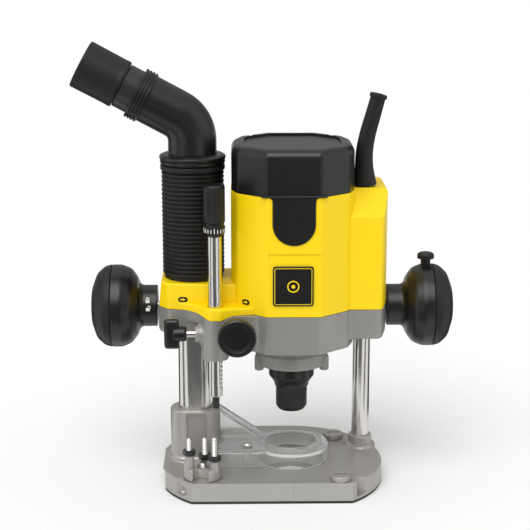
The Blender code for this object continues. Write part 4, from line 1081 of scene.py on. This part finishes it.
DARK_CARDS = ((-125, -72), (-40, -22), (12, 60), (120, 160), (-168, -150))  # degrees about the spindle's axis
CARD_NEAR, CARD_FAR, CARD_Z, CARD_STEPS = 170, 3000, 0.8, 6
SKY_RING = ((0.0, 0.16), (0.09, 0.22), (0.15, 1.5), (0.26, 1.6), (0.31, 0.3), (0.4, 0.5), (0.5, 0.6),
            (0.60, 0.5), (0.68, 0.35), (0.74, 1.5), (0.85, 1.4), (0.91, 0.22), (1.0, 0.16))  # turn, brightness
SKY_TOP, SKY_STRENGTH = 1.15, 0.72
CAMERA_AT, CAMERA_LENS = (-35.6, -1006.3, 410.2), 98


def make_floor():
    """A pale floor, and dark studio cards on it that only reflections see."""
    shape = bmesh.new()
    bmesh.ops.create_grid(shape, x_segments=8, y_segments=8, size=14000.0)
    floor = add("floor", shape)
    floor.data.materials.append(FINISHES["pale_floor"])
    for i, (start, end) in enumerate(DARK_CARDS):
        fan, rings = bmesh.new(), []
        for radius in (CARD_NEAR, CARD_FAR):
            edge = arc(0, 0, radius, start, end, CARD_STEPS)
            rings.append([fan.verts.new((*point, CARD_Z)) for point in edge])
        near, far = rings
        for k in range(CARD_STEPS):
            fan.faces.new((near[k], near[k + 1], far[k + 1], far[k]))
        card = add(f"dark_card_{i}", fan)
        card.data.materials.append(FINISHES["carbon"])
        card.visible_camera = card.visible_diffuse = card.visible_transmission = card.visible_shadow = False


def make_sky():
    """A soft sky: a ring of brighter and darker parts about the object, and a bright top."""
    world = bpy.data.worlds.new("studio")
    bpy.context.scene.world = world
    world.use_nodes = True
    tree = world.node_tree
    way = add_node(tree, "SeparateXYZ", Vector=add_node(tree, "TexCoord").outputs["Generated"]).outputs
    angle = tree.nodes.new("ShaderNodeMath")
    angle.operation = "ARCTAN2"
    tree.links.new(way["X"], angle.inputs[0])
    tree.links.new(way["Y"], angle.inputs[1])
    part = add_node(tree, "MapRange", Value=angle.outputs["Value"], From_Min=-math.pi, From_Max=math.pi)
    ring = add_node(tree, "ValToRGB", Fac=part.outputs["Result"])
    stops = ring.color_ramp.elements
    stops.remove(stops[0])
    for i, (place, value) in enumerate(SKY_RING):
        stop = stops.new(place) if i else stops[0]
        stop.position = place
        stop.color = (value, value, value, 1)
    above = add_node(tree, "MapRange", Value=way["Z"], From_Min=0.45, From_Max=0.85).outputs["Result"]
    sky = add_node(tree, "Mix", A=ring.outputs["Color"], B=(SKY_TOP, SKY_TOP, SKY_TOP, 1), Factor=above)
    background = tree.nodes["Background"]
    tree.links.new(sky.outputs["Result"], background.inputs["Color"])
    background.inputs["Strength"].default_value = SKY_STRENGTH


def make_sun_and_camera():
    """A soft sun, and the camera."""
    sun = put("sun", bpy.data.lights.new("sun", "SUN"))
    sun.data.energy = 1.9
    sun.data.angle = math.radians(50)
    sun.rotation_euler = [math.radians(v) for v in (38, 6, -24)]
    camera = put("camera", bpy.data.cameras.new("camera"))
    camera.data.lens = CAMERA_LENS
    camera.data.sensor_width = 36
    camera.data.clip_end = 100
    camera.location = (SPINDLE + Vector(CAMERA_AT)) * MM
    camera.rotation_euler = ((CAD_LOW + CAD_HIGH) / 2 - camera.location).to_track_quat("-Z", "Y").to_euler()
    bpy.context.scene.camera = camera
    bpy.context.scene.view_settings.view_transform = "Standard"


for make in (make_floor, make_sky, make_sun_and_camera, make_base, make_sole, make_columns, make_shroud,
             make_clamp_screws, make_turret, make_casting, make_housing, make_cap, make_badge, make_marks,
             make_sleeve, make_boot, make_outlet, make_depth_stop, make_collet_nut, make_handles,
             finish_inside):
    make()
